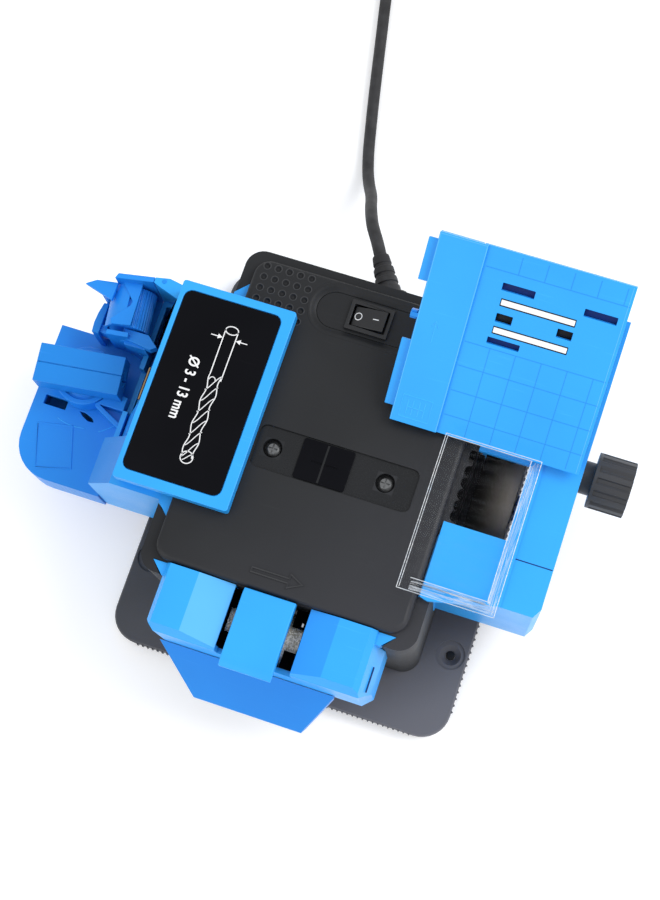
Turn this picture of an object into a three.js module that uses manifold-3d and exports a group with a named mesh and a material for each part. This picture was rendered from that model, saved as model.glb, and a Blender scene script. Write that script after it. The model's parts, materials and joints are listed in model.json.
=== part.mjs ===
// Multi-purpose electric sharpener: a motor housing on a base plate with three lift-off modules.
// Millimetres, +Z up, +Y towards the back, +X towards the chisel side.
import * as THREE from 'three';
import { mergeVertices } from 'three/addons/utils/BufferGeometryUtils.js';
import Module from 'manifold-3d';

const wasm = await Module();
wasm.setup();

// ---- driving dimensions ----
const GAP = 0.3;
const RUNNING = 0.07;
const CENTRE_SHIFT_X = 9;
const CENTRE_SHIFT_Y = 9;
const BASE = { x: 90, y: 105, r: 15, bottom: 3, top: 9 };
const BOLT = { x: 81, y: 61, r: 2.4, head: 5.4, recess: 7.5 };
const FOOT = { r: 8, x: 74, y: 88, pocket: 3 };
const SHELL = { x: 67, front: -77, back: 87, r: 9, bottom: 9.3, top: 95, innerX: 58, wall: 3, floor: 12 };
const LEDGE = { bottom: 95.3, top: 98 };
const COVER = { x: 61, front: -70.5, back: 82, r: 8, top: 103, bevel: 2.5 };
const AXLE = { y: 8, z: 68, r: 4 };
const SPINDLE = { y: -86, z: 76, r: 3 };
const WHEEL_R = 26;
const RAIL = {
  outer: 67,
  inner: 61,
  tipFront: -51,
  tipBack: 69,
  gapFront: -20,
  gapBack: 36,
  bottom: 30,
  flare: 6,
};
const FRONT_RAIL = { left: -60.4, right: 57.9, flare: 6, innerY: -71, outerY: -77, stripBottom: 90 };
const BLOCK = { front: -102.5, back: -71, top: 102, slopeEnd: 98.7 };
const KNIFE_WHEEL = { x: -1.5, r: 13, half: 20 };
const SLOPE_DEG = 31;
const CARRIAGE = { y: 23.5, z: 107, length: 90, x0: 46.5, x1: 114, fenceX: 24, thick: 3 };
const DECK = { bottom: 98.4, top: 101, rightTop: 100 };
const LID = { x0: -89.5, x1: -33, y0: -42, y1: 58.3, bottom: 103.4, top: 110 };
const TRAY = { x0: -157.5, x1: -108, y0: -45, y1: 34, bottom: 30, top: 50, r: 20 };
const SWIVEL = { x: -133, y: 9.5, r: 15, deg: 7 };
const THUMB = { x: -117.5, y: 43.5, z: 74, r: 10, hood: 12.2 };
const SHIELD_TOP = 116;
const KNOB = { y: 31, z: 77, r: 13.5, x0: 121.5, x1: 139.5 };
const CORD_D = 6.5;

// ---- materials ----
const finish = {
  black: { color: 0x2b2c2f, roughness: 0.62, metalness: 0 },
  blue: { color: 0x1d74e0, roughness: 0.42, metalness: 0 },
  rubber: { color: 0x1a1a1b, roughness: 0.85, metalness: 0 },
  steel: { color: 0xb9bcc0, roughness: 0.3, metalness: 1 },
  dark: { color: 0x151516, roughness: 0.5, metalness: 0 },
  magnet: { color: 0xe6e7e8, roughness: 0.35, metalness: 0 },
  grit: { color: 0x8d8a84, roughness: 0.95, metalness: 0 },
  diamond: { color: 0xc9c2ae, roughness: 0.6, metalness: 0.6 },
  clear: { color: 0xdfe6ea, roughness: 0.08, metalness: 0 },
  label: { color: 0x16161b, roughness: 0.35, metalness: 0 },
  copper: { color: 0xb0663a, roughness: 0.4, metalness: 0.9 },
};

// ---- solid helpers ----
function toSolid(geometry) {
  geometry.deleteAttribute('normal');
  geometry.deleteAttribute('uv');
  const merged = mergeVertices(geometry, 1e-4);
  const vertProperties = new Float32Array(merged.attributes.position.array);
  const triVerts = new Uint32Array(merged.index.array);
  return new wasm.Manifold(new wasm.Mesh({ numProp: 3, vertProperties, triVerts }));
}

function toGeometry(solid) {
  const mesh = solid.getMesh();
  const geometry = new THREE.BufferGeometry();
  geometry.setAttribute('position', new THREE.BufferAttribute(mesh.vertProperties, 3));
  geometry.setIndex(new THREE.BufferAttribute(mesh.triVerts, 1));
  geometry.computeVertexNormals();
  return geometry;
}

function box(x0, x1, y0, y1, z0, z1) {
  const geometry = new THREE.BoxGeometry(x1 - x0, y1 - y0, z1 - z0);
  geometry.translate((x0 + x1) / 2, (y0 + y1) / 2, (z0 + z1) / 2);
  return toSolid(geometry);
}

// Places a shape drawn in (u, v) and extruded along w: 'x' maps (y, z), 'y' maps (x, z), 'z' maps (x, y).
function orient(geometry, axis, start, end) {
  const basis = new THREE.Matrix4();
  const ex = new THREE.Vector3(1, 0, 0);
  const ey = new THREE.Vector3(0, 1, 0);
  const ez = new THREE.Vector3(0, 0, 1);
  if (axis === 'x') {
    basis.makeBasis(ey, ez, ex);
    geometry.applyMatrix4(basis);
    geometry.translate(start, 0, 0);
  } else if (axis === 'y') {
    basis.makeBasis(ex, ez, ey.clone().negate());
    geometry.applyMatrix4(basis);
    geometry.translate(0, end, 0);
  } else {
    geometry.translate(0, 0, start);
  }
  return geometry;
}

function prism(axis, points, start, end, bevel = 0, steps = 2) {
  const shape = new THREE.Shape(points.map((p) => new THREE.Vector2(p[0], p[1])));
  const options = { depth: end - start - 2 * bevel, bevelEnabled: bevel > 0, curveSegments: 6 };
  if (bevel > 0) {
    options.bevelThickness = bevel;
    options.bevelSize = bevel;
    options.bevelOffset = -bevel;
    options.bevelSegments = steps;
  }
  const geometry = new THREE.ExtrudeGeometry(shape, options);
  geometry.translate(0, 0, bevel);
  return toSolid(orient(geometry, axis, start, end));
}

function rounded(u0, u1, v0, v1, r, steps = 4) {
  const points = [];
  const corners = [[u1 - r, v1 - r, 0], [u0 + r, v1 - r, 90], [u0 + r, v0 + r, 180], [u1 - r, v0 + r, 270]];
  for (const [cu, cv, from] of corners) {
    for (let i = 0; i <= steps; i += 1) {
      const angle = THREE.MathUtils.degToRad(from + (90 * i) / steps);
      points.push([cu + r * Math.cos(angle), cv + r * Math.sin(angle)]);
    }
  }
  return points;
}

// A cylinder or cone along an axis; (u, v) is its centre in that axis's plane.
function rod(axis, u, v, start, end, r, sides = 32, rEnd = r) {
  const geometry = new THREE.CylinderGeometry(rEnd, r, end - start, sides);
  geometry.translate(0, (start + end) / 2, 0);
  if (axis === 'x') {
    geometry.rotateZ(-Math.PI / 2);
    geometry.translate(0, u, v);
  } else if (axis === 'y') {
    geometry.translate(u, 0, v);
  } else {
    geometry.rotateX(Math.PI / 2);
    geometry.translate(u, v, 0);
  }
  return toSolid(geometry);
}

// A turned solid: profile is [radius, along] pairs, from axis to axis.
function turned(axis, u, v, profile, sides = 32) {
  const geometry = new THREE.LatheGeometry(profile.map((p) => new THREE.Vector2(p[0], p[1])), sides);
  if (axis === 'x') {
    geometry.rotateZ(-Math.PI / 2);
    geometry.translate(0, u, v);
  } else if (axis === 'y') {
    geometry.translate(u, 0, v);
  } else {
    geometry.rotateX(Math.PI / 2);
    geometry.translate(u, v, 0);
  }
  return toSolid(geometry);
}

function join(...solids) {
  return solids.reduce((a, b) => a.add(b));
}

function cut(solid, ...tools) {
  return tools.reduce((a, b) => a.subtract(b), solid);
}

const machine = new THREE.Group();
machine.name = 'machine';
machine.position.set(CENTRE_SHIFT_X, CENTRE_SHIFT_Y, 0);

function addTo(parent, name, solid, look) {
  const geometry = solid.isBufferGeometry ? solid : toGeometry(solid);
  const mesh = new THREE.Mesh(geometry, new THREE.MeshStandardMaterial(finish[look]));
  mesh.name = name;
  parent.add(mesh);
  return mesh;
}

function group(name) {
  const node = new THREE.Group();
  node.name = name;
  machine.add(node);
  return node;
}

// ---- dovetail slots and rails ----
// side is -1 for the left face and +1 for the right; inset shrinks a rail inside its slot.
function sideDovetail(side, inset, bottom, top) {
  const outer = RAIL.outer + (inset > 0 ? GAP : 1);
  const inner = RAIL.inner + inset;
  const frontTip = RAIL.tipFront + inset;
  const backTip = RAIL.tipBack - inset;
  const front = [
    [side * outer, frontTip + RAIL.flare],
    [side * inner, frontTip],
    [side * inner, RAIL.gapFront - inset],
    [side * outer, RAIL.gapFront - inset],
  ];
  const back = [
    [side * outer, RAIL.gapBack + inset],
    [side * inner, RAIL.gapBack + inset],
    [side * inner, backTip],
    [side * outer, backTip - RAIL.flare],
  ];
  const order = (points) => (side > 0 ? points.slice().reverse() : points);
  return [prism('z', order(front), bottom, top), prism('z', order(back), bottom, top)];
}

function frontDovetail(inset, bottom, top) {
  const outerY = FRONT_RAIL.outerY - (inset > 0 ? GAP : 1);
  const innerY = FRONT_RAIL.innerY - inset;
  const left = FRONT_RAIL.left + inset;
  const right = FRONT_RAIL.right - inset;
  const points = [
    [left + FRONT_RAIL.flare, outerY],
    [right - FRONT_RAIL.flare, outerY],
    [right, innerY],
    [left, innerY],
  ];
  return prism('z', points, bottom, top);
}

// ---- base ----
function buildBase() {
  let plate = prism('z', rounded(-BASE.x, BASE.x, -BASE.y, BASE.y, BASE.r, 8), BASE.bottom, BASE.top, 0.8, 1);
  for (const sx of [-1, 1]) {
    for (const sy of [-1, 1]) {
      const pocketTop = BASE.bottom + FOOT.pocket;
      plate = cut(plate, rod('z', sx * FOOT.x, sy * FOOT.y, BASE.bottom - 1, pocketTop, FOOT.r + GAP, 20));
      const hole = { x: sx * BOLT.x, y: sy * BOLT.y };
      plate = cut(plate, rod('z', hole.x, hole.y, BASE.top - 1, BASE.top + 1, BOLT.recess, 24));
      plate = cut(plate, rod('z', hole.x, hole.y, BASE.top - 4, BASE.top - 0.9, BOLT.r, 24, BOLT.head));
      plate = cut(plate, rod('z', hole.x, hole.y, BASE.bottom - 1, BASE.top - 3, BOLT.r, 16));
    }
  }
  addTo(machine, 'base_plate', plate, 'black');
  const names = {
    '-1,-1': 'foot_front_left',
    '1,-1': 'foot_front_right',
    '-1,1': 'foot_back_left',
    '1,1': 'foot_back_right',
  };
  for (const sx of [-1, 1]) {
    for (const sy of [-1, 1]) {
      const height = BASE.bottom + FOOT.pocket - GAP;
      const profile = [[0, 0], [6.8, 0], [7.6, 0.8], [FOOT.r, 3], [FOOT.r, height], [0, height]];
      const foot = addTo(machine, names[`${sx},${sy}`], turned('z', 0, 0, profile, 16), 'rubber');
      foot.position.set(sx * FOOT.x, sy * FOOT.y, 0);
    }
  }
}

// ---- motor housing ----
const ARMS = [[-29, -24], [21, 26]];

function buildHousing() {
  const footprint = rounded(-SHELL.x, SHELL.x, SHELL.front, SHELL.back, SHELL.r, 8);
  let shell = prism('z', footprint, SHELL.bottom, SHELL.top);
  const innerX = SHELL.innerX;
  shell = cut(shell, box(-innerX, innerX, -68, SHELL.back - SHELL.wall, SHELL.floor, SHELL.top + 1));
  for (const side of [-1, 1]) {
    shell = cut(shell, ...sideDovetail(side, 0, RAIL.bottom - GAP, SHELL.top + 1));
  }
  shell = cut(shell, frontDovetail(0, RAIL.bottom - GAP, SHELL.top + 1));
  shell = cut(shell, rod('x', AXLE.y, AXLE.z, -70, 70, 7));
  shell = cut(shell, box(-46, -34, -72, -67, 60, 88));
  shell = cut(shell, rod('y', 4, 60, 83, 89, 7));
  for (const [x0, x1] of ARMS) {
    const arm = prism('x', [[-71, 62], [-71, 86], [-82, 84.5], [-94, 80], [-94, 72], [-80, 69]], x0, x1);
    shell = join(shell, cut(arm, rod('x', SPINDLE.y, SPINDLE.z, x0 - 1, x1 + 1, SPINDLE.r + RUNNING, 24)));
  }
  // motor cradle and cover bosses stand on the floor
  for (const x of [-24, 18]) {
    shell = join(shell, cut(box(x, x + 6, -10, 26, 11, 50), rod('x', AXLE.y, AXLE.z, x - 1, x + 7, 24.8)));
  }
  addTo(machine, 'housing_shell', shell, 'black');
}

function arrowOutline() {
  const outer = [[-15, -64], [3, -64], [3, -66.5], [11, -62.5], [3, -58.5], [3, -61], [-15, -61]];
  const inner = [[-14, -63.2], [3.9, -63.2], [3.9, -65], [9, -62.5], [3.9, -60], [3.9, -61.8], [-14, -61.8]];
  const top = COVER.top + 0.4;
  return cut(prism('z', outer, COVER.top - 0.5, top), prism('z', inner, COVER.top - 1, top + 1));
}

function buildCover() {
  const footprint = rounded(-SHELL.x, SHELL.x, SHELL.front, SHELL.back, SHELL.r, 8);
  let cover = prism('z', footprint, LEDGE.bottom, LEDGE.top);
  const raised = rounded(-COVER.x, COVER.x, COVER.front, COVER.back, COVER.r, 8);
  cover = join(cover, prism('z', raised, LEDGE.bottom, COVER.top, COVER.bevel, 3));
  for (const side of [-1, 1]) {
    cover = cut(cover, ...sideDovetail(side, 0, LEDGE.bottom - 1, LEDGE.top + 0.01));
  }
  cover = cut(cover, frontDovetail(0, LEDGE.bottom - 1, LEDGE.top + 0.01));
  // hollow underside with two screw bosses and the switch well
  const hollow = cut(
    box(-55, 55, -64, 76, LEDGE.bottom - 1, 99.6),
    rod('z', -24, -5.5, 94, 101, 7),
    rod('z', 31, -5.5, 94, 101, 7),
    box(-33, 32, 52, 84, 94, 101),
  );
  cover = cut(cover, hollow);
  cover = cut(cover, prism('z', rounded(-32.3, 45.5, -16.5, 4.5, 3.5, 3), 101.8, 104));
  for (const x of [-24, 31]) {
    cover = cut(cover, rod('z', x, -5.5, 98.2, 104, 4.6, 24), rod('z', x, -5.5, 94, 99, 2.2, 16));
  }
  // switch recess and its panel cut-out
  cover = cut(cover, prism('z', rounded(-30, 29, 55, 80, 12.4, 6), 101, 104));
  cover = cut(cover, box(-0.5 - 9.8, -0.5 + 9.8, 67.5 - 6.8, 67.5 + 6.8, 90, 104));
  // grip dimples
  for (let i = 0; i < 5; i += 1) {
    for (let j = 0; j < 5; j += 1) {
      const x = -55.4 + 5.6 * i;
      const y = 78.4 - 5.6 * j;
      cover = cut(cover, rod('z', x, y, COVER.top - 0.9, COVER.top + 0.1, 0.8, 8, 1.6));
    }
  }
  // scalloped edge beside the chisel wheel
  for (let i = 0; i < 4; i += 1) {
    cover = cut(cover, rod('z', 67.4, -8.5 + 9 * i, LEDGE.bottom - 1, LEDGE.top + 0.01, 3.6, 16));
  }
  cover = join(cover, arrowOutline());
  addTo(machine, 'top_cover', cover, 'black');

  let badge = prism('z', rounded(-11, 14, -15.8, 3.8, 1, 2), 102.1, 102.7);
  badge = cut(badge, box(-5, 8, -6.3, -5.7, 102.4, 103));
  addTo(machine, 'top_badge', badge, 'dark');
  for (const [name, x] of [['cover_screw_left', -24], ['cover_screw_right', 31]]) {
    const head = [[0, 0], [3.9, 0], [3.9, 1.2], [2.4, 2.3], [0, 2.3]];
    let screw = join(turned('z', 0, 0, head, 16), rod('z', 0, 0, -5, 0.3, 1.8, 8));
    screw = cut(screw, box(-2.2, 2.2, -0.4, 0.4, 1.3, 3), box(-0.4, 0.4, -2.2, 2.2, 1.3, 3));
    const mesh = addTo(machine, name, screw, 'steel');
    mesh.position.set(x, -5.5, 98.5);
  }
}

// ---- mains switch ----
function buildSwitch() {
  const cx = -0.5;
  const cy = 67.5;
  let body = join(box(-10.5, 10.5, -7.5, 7.5, 101.3, 103), box(-9.5, 9.5, -6.5, 6.5, 86, 101.6));
  body = cut(body, box(-8.6, 8.6, -5.4, 5.4, 95, 104));
  for (const y of [-3.5, 2.7]) {
    body = join(body, box(-5, -4.2, y, y + 0.8, 80, 86.2), box(4.2, 5, y, y + 0.8, 80, 86.2));
  }
  const mesh = addTo(machine, 'switch_body', body, 'dark');
  mesh.position.set(cx, cy, 0);
  const profile = [
    [-8, 1.0], [-0.6, 3.2], [0.6, 3.2], [8, 5.2], [7.4, -1.6], [2.4, -3.8], [-2.4, -3.8], [-7.4, -2.2],
  ];
  const rocker = addTo(machine, 'switch_rocker', prism('y', profile, -5, 5), 'dark');
  rocker.position.set(cx, cy, 100.2);
}

// ---- motor, shaft and wheels ----
function buildDrive() {
  let can = rod('x', AXLE.y, AXLE.z, -36, 36, 24.4, 48);
  can = cut(can, rod('x', AXLE.y, AXLE.z, -33, 33, 21.5, 48));
  can = cut(can, rod('x', AXLE.y, AXLE.z, -40, 40, 6, 24));
  for (const x of [-36, 29]) {
    const seat = rod('x', AXLE.y, AXLE.z, x, x + 7, 14, 32);
    can = join(can, cut(seat, rod('x', AXLE.y, AXLE.z, x - 1, x + 8, 11.3, 32)));
  }
  can = cut(can, rod('x', AXLE.y, AXLE.z, -40, -29, 11.3, 32), rod('x', AXLE.y, AXLE.z, 29, 40, 11.3, 32));
  for (const y of [-7, 17]) {
    can = cut(can, box(-14, 14, y, y + 6, 88, 95));
  }
  addTo(machine, 'motor_can', can, 'steel');
  for (const [name, x] of [['bearing_left', -35.7], ['bearing_right', 28.7]]) {
    const bore = rod('x', AXLE.y, AXLE.z, x - 1, x + 8, AXLE.r + RUNNING, 32);
    addTo(machine, name, cut(rod('x', AXLE.y, AXLE.z, x, x + 7, 11, 32), bore), 'steel');
  }
  let rotor = rod('x', AXLE.y, AXLE.z, -95, 95, AXLE.r, 24);
  rotor = join(rotor, rod('x', AXLE.y, AXLE.z, -18, 12, 19, 36), rod('x', AXLE.y, AXLE.z, 15, 26, 10, 24));
  for (let i = 0; i < 9; i += 1) {
    const slot = box(-19, 13, -0.9, 0.9, 11, 20);
    rotor = cut(rotor, slot.rotate([i * 40, 0, 0]).translate([0, AXLE.y, AXLE.z]));
  }
  rotor = join(rotor, rod('x', AXLE.y, AXLE.z, -66, -60, 6, 24), rod('x', AXLE.y, AXLE.z, 60, 66, 6, 24));
  addTo(machine, 'rotor_shaft', rotor, 'copper');

  let fan = rod('x', AXLE.y, AXLE.z, 42, 44, 20, 36);
  fan = join(fan, rod('x', AXLE.y, AXLE.z, 42, 50, 7.5, 24));
  for (let i = 0; i < 9; i += 1) {
    const blade = box(43.5, 50, -0.7, 0.7, 6.8, 19.5);
    fan = join(fan, blade.rotate([i * 40, 0, 0]).translate([0, AXLE.y, AXLE.z]));
  }
  fan = cut(fan, rod('x', AXLE.y, AXLE.z, 40, 52, AXLE.r + GAP, 24));
  addTo(machine, 'cooling_fan', fan, 'dark');

  const bore = (x0, x1) => rod('x', AXLE.y, AXLE.z, x0, x1, AXLE.r + GAP, 24);
  const chiselWheel = rod('x', AXLE.y, AXLE.z, 71, 90, WHEEL_R, 56);
  addTo(machine, 'chisel_wheel', cut(chiselWheel, bore(70, 91)), 'grit');
  const drillProfile = [[0, -88], [14, -88], [17, -86], [WHEEL_R - 1, -82], [WHEEL_R - 1, -71], [0, -71]];
  addTo(machine, 'drill_wheel', cut(turned('x', AXLE.y, AXLE.z, drillProfile, 48), bore(-90, -70)), 'grit');
  for (const [name, x] of [['wheel_nut_left', -92.6], ['wheel_nut_right', 90.3]]) {
    const hex = cut(rod('x', AXLE.y, AXLE.z, x, x + 4, 7.5, 6), bore(x - 1, x + 5));
    addTo(machine, name, hex, 'steel');
  }

  const pulleyProfile = [[0, -4], [10.5, -4], [10.5, -3], [9, -2.5], [9, 2.5], [10.5, 3], [10.5, 4], [0, 4]];
  const drive = cut(turned('x', 0, 0, pulleyProfile, 24), rod('x', 0, 0, -5, 5, AXLE.r + GAP, 16));
  addTo(machine, 'motor_pulley', drive, 'steel').position.set(-42, AXLE.y, AXLE.z);
  const driven = cut(turned('x', 0, 0, pulleyProfile, 24), rod('x', 0, 0, -5, 5, SPINDLE.r + GAP, 16));
  addTo(machine, 'knife_pulley', driven, 'steel').position.set(-42, SPINDLE.y, SPINDLE.z);

  // belt: straight runs between two equal pulleys, then the two half turns
  const run = Math.hypot(AXLE.y - SPINDLE.y, AXLE.z - SPINDLE.z);
  const beltRing = (r) => {
    const points = [];
    for (let i = 0; i <= 12; i += 1) {
      const angle = THREE.MathUtils.degToRad(-90 + 15 * i);
      points.push([run / 2 + r * Math.cos(angle), r * Math.sin(angle)]);
    }
    for (let i = 0; i <= 12; i += 1) {
      const angle = THREE.MathUtils.degToRad(90 + 15 * i);
      points.push([-run / 2 + r * Math.cos(angle), r * Math.sin(angle)]);
    }
    return points;
  };
  const belt = cut(prism('x', beltRing(10.9), -2.2, 2.2), prism('x', beltRing(9.3), -3, 3));
  const beltMesh = addTo(machine, 'drive_belt', belt, 'rubber');
  beltMesh.position.set(-42, (AXLE.y + SPINDLE.y) / 2, (AXLE.z + SPINDLE.z) / 2);
  beltMesh.rotation.x = Math.atan2(AXLE.z - SPINDLE.z, AXLE.y - SPINDLE.y);

  addTo(machine, 'knife_spindle', rod('x', SPINDLE.y, SPINDLE.z, -48, 29, SPINDLE.r, 24), 'steel');
  const { r, half } = KNIFE_WHEEL;
  const profile = [[0, -half], [r - 1, -half], [r, 1 - half], [r, half - 1], [r - 1, half], [0, half]];
  const bored = rod('x', 0, 0, -half - 1, half + 1, SPINDLE.r + GAP, 24);
  const knifeWheel = cut(turned('x', 0, 0, profile, 40), bored);
  addTo(machine, 'knife_wheel', knifeWheel, 'diamond').position.set(KNIFE_WHEEL.x, SPINDLE.y, SPINDLE.z);
}

// ---- knife and scissors module ----
function buildKnifeModule() {
  const module = group('knife_module');
  // each block: a level top, a gentle slope towards its guide slot, and a steep outer flank
  const leftOuter = [
    [-53.5, 56], [-53.5, 98], [-51, BLOCK.top], [-37, BLOCK.top], [-19.5, BLOCK.slopeEnd], [-19.5, 56],
  ];
  const rightOuter = [
    [17, 56], [17, BLOCK.slopeEnd], [31, BLOCK.top], [46, BLOCK.top], [49, 99.6], [54, 84], [54, 56],
  ];
  let body = join(prism('y', leftOuter, BLOCK.front, -77.3), prism('y', rightOuter, BLOCK.front, -77.3));
  const leftHollow = [[-51, 50], [-51, 95.5], [-50, 97.3], [-37.3, 97.3], [-22, 95.6], [-22, 50]];
  const rightHollow = [
    [19.5, 50], [19.5, 95.6], [31.3, 97.3], [45.5, 97.3], [47, 96.6], [51.5, 83.6], [51.5, 50],
  ];
  body = cut(body, prism('y', leftHollow, -100, -70), prism('y', rightHollow, -100, -70));
  // the tops run on over the cover's ledge
  const low = LEDGE.top + GAP;
  const leftTop = [[-53.3, low], [-51, BLOCK.top], [-37, BLOCK.top], [-19.5, BLOCK.slopeEnd], [-19.5, low]];
  const rightFace = [[31, BLOCK.top], [46, BLOCK.top], [49, 99.6], [49.3, low]];
  const rightTop = [[17, low], [17, BLOCK.slopeEnd], ...rightFace];
  body = join(body, prism('y', leftTop, -77.4, BLOCK.back), prism('y', rightTop, -77.4, BLOCK.back));
  // front wall between the blocks, then the bevel along the front top edge
  body = join(body, box(-20, 17.5, -102.5, -100, 56, 88));
  body = cut(body, prism('x', [[-110, 86], [-110, 106], [-96.5, 106]], -60, 60));
  body = cut(body, prism('z', [[-56, -96], [-56, -105], [-47, -105]], 50, 104));
  body = cut(body, prism('z', [[56, -96], [47, -105], [56, -105]], 50, 104));
  // back plate with its dovetail edges; open below for the spindle arms and the belt
  const plate = frontDovetail(GAP, RAIL.bottom, 98.4);
  const opening = box(-47, 42, -80, -70, RAIL.bottom - 1, FRONT_RAIL.stripBottom);
  body = join(body, cut(plate, opening, box(-19.5, 17, -80, -70, FRONT_RAIL.stripBottom - 1, 99)));
  body = join(body, box(-53.5, -51, -78, -77, 56, 97), box(51.5, 54, -78, -77, 56, 84));
  // the flanks of the guide slots clear the wheel
  const wheelTop = SPINDLE.z + KNIFE_WHEEL.r + 0.6;
  body = cut(body, box(-23, -19, -99.6, -72.4, 50, wheelTop), box(16.5, 20, -99.6, -72.4, 50, wheelTop));
  body = cut(body, box(53.4, 55, -99, -88, 60, 61.2));
  addTo(module, 'knife_body', body, 'blue');

  const capSide = [
    [-71.2, 98.8], [-71.2, 103], [-74, 104], [-104, 104], [-108.5, 102.4], [-108.5, 100], [-104, 98.8],
  ];
  let cap = prism('x', capSide, -14.8, 10.2);
  cap = cut(cap, box(-12.8, 8.2, -101, -76, 98, 101.6));
  cap = join(cap, box(-12, 7.4, -103.2, -102.8, 90, 100), box(-12, 7.4, -105, -103, 90, 100));
  addTo(module, 'knife_cap', cap, 'blue');

  // catch tray: a sloping plate, wide at the wall and narrow at its lip
  const slope = [[-102.8, 56], [-102.8, 62], [-123, 42.4], [-123, 39.5], [-120.5, 39.5], [-104.3, 55]];
  let tray = prism('x', slope, -52, 36);
  tray = cut(tray, prism('z', [[-53, -102], [-53, -124], [-29.5, -124]], 30, 70));
  tray = cut(tray, prism('z', [[37, -102], [24, -124], [37, -124]], 30, 70));
  addTo(module, 'knife_tray', tray, 'blue');
}

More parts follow.
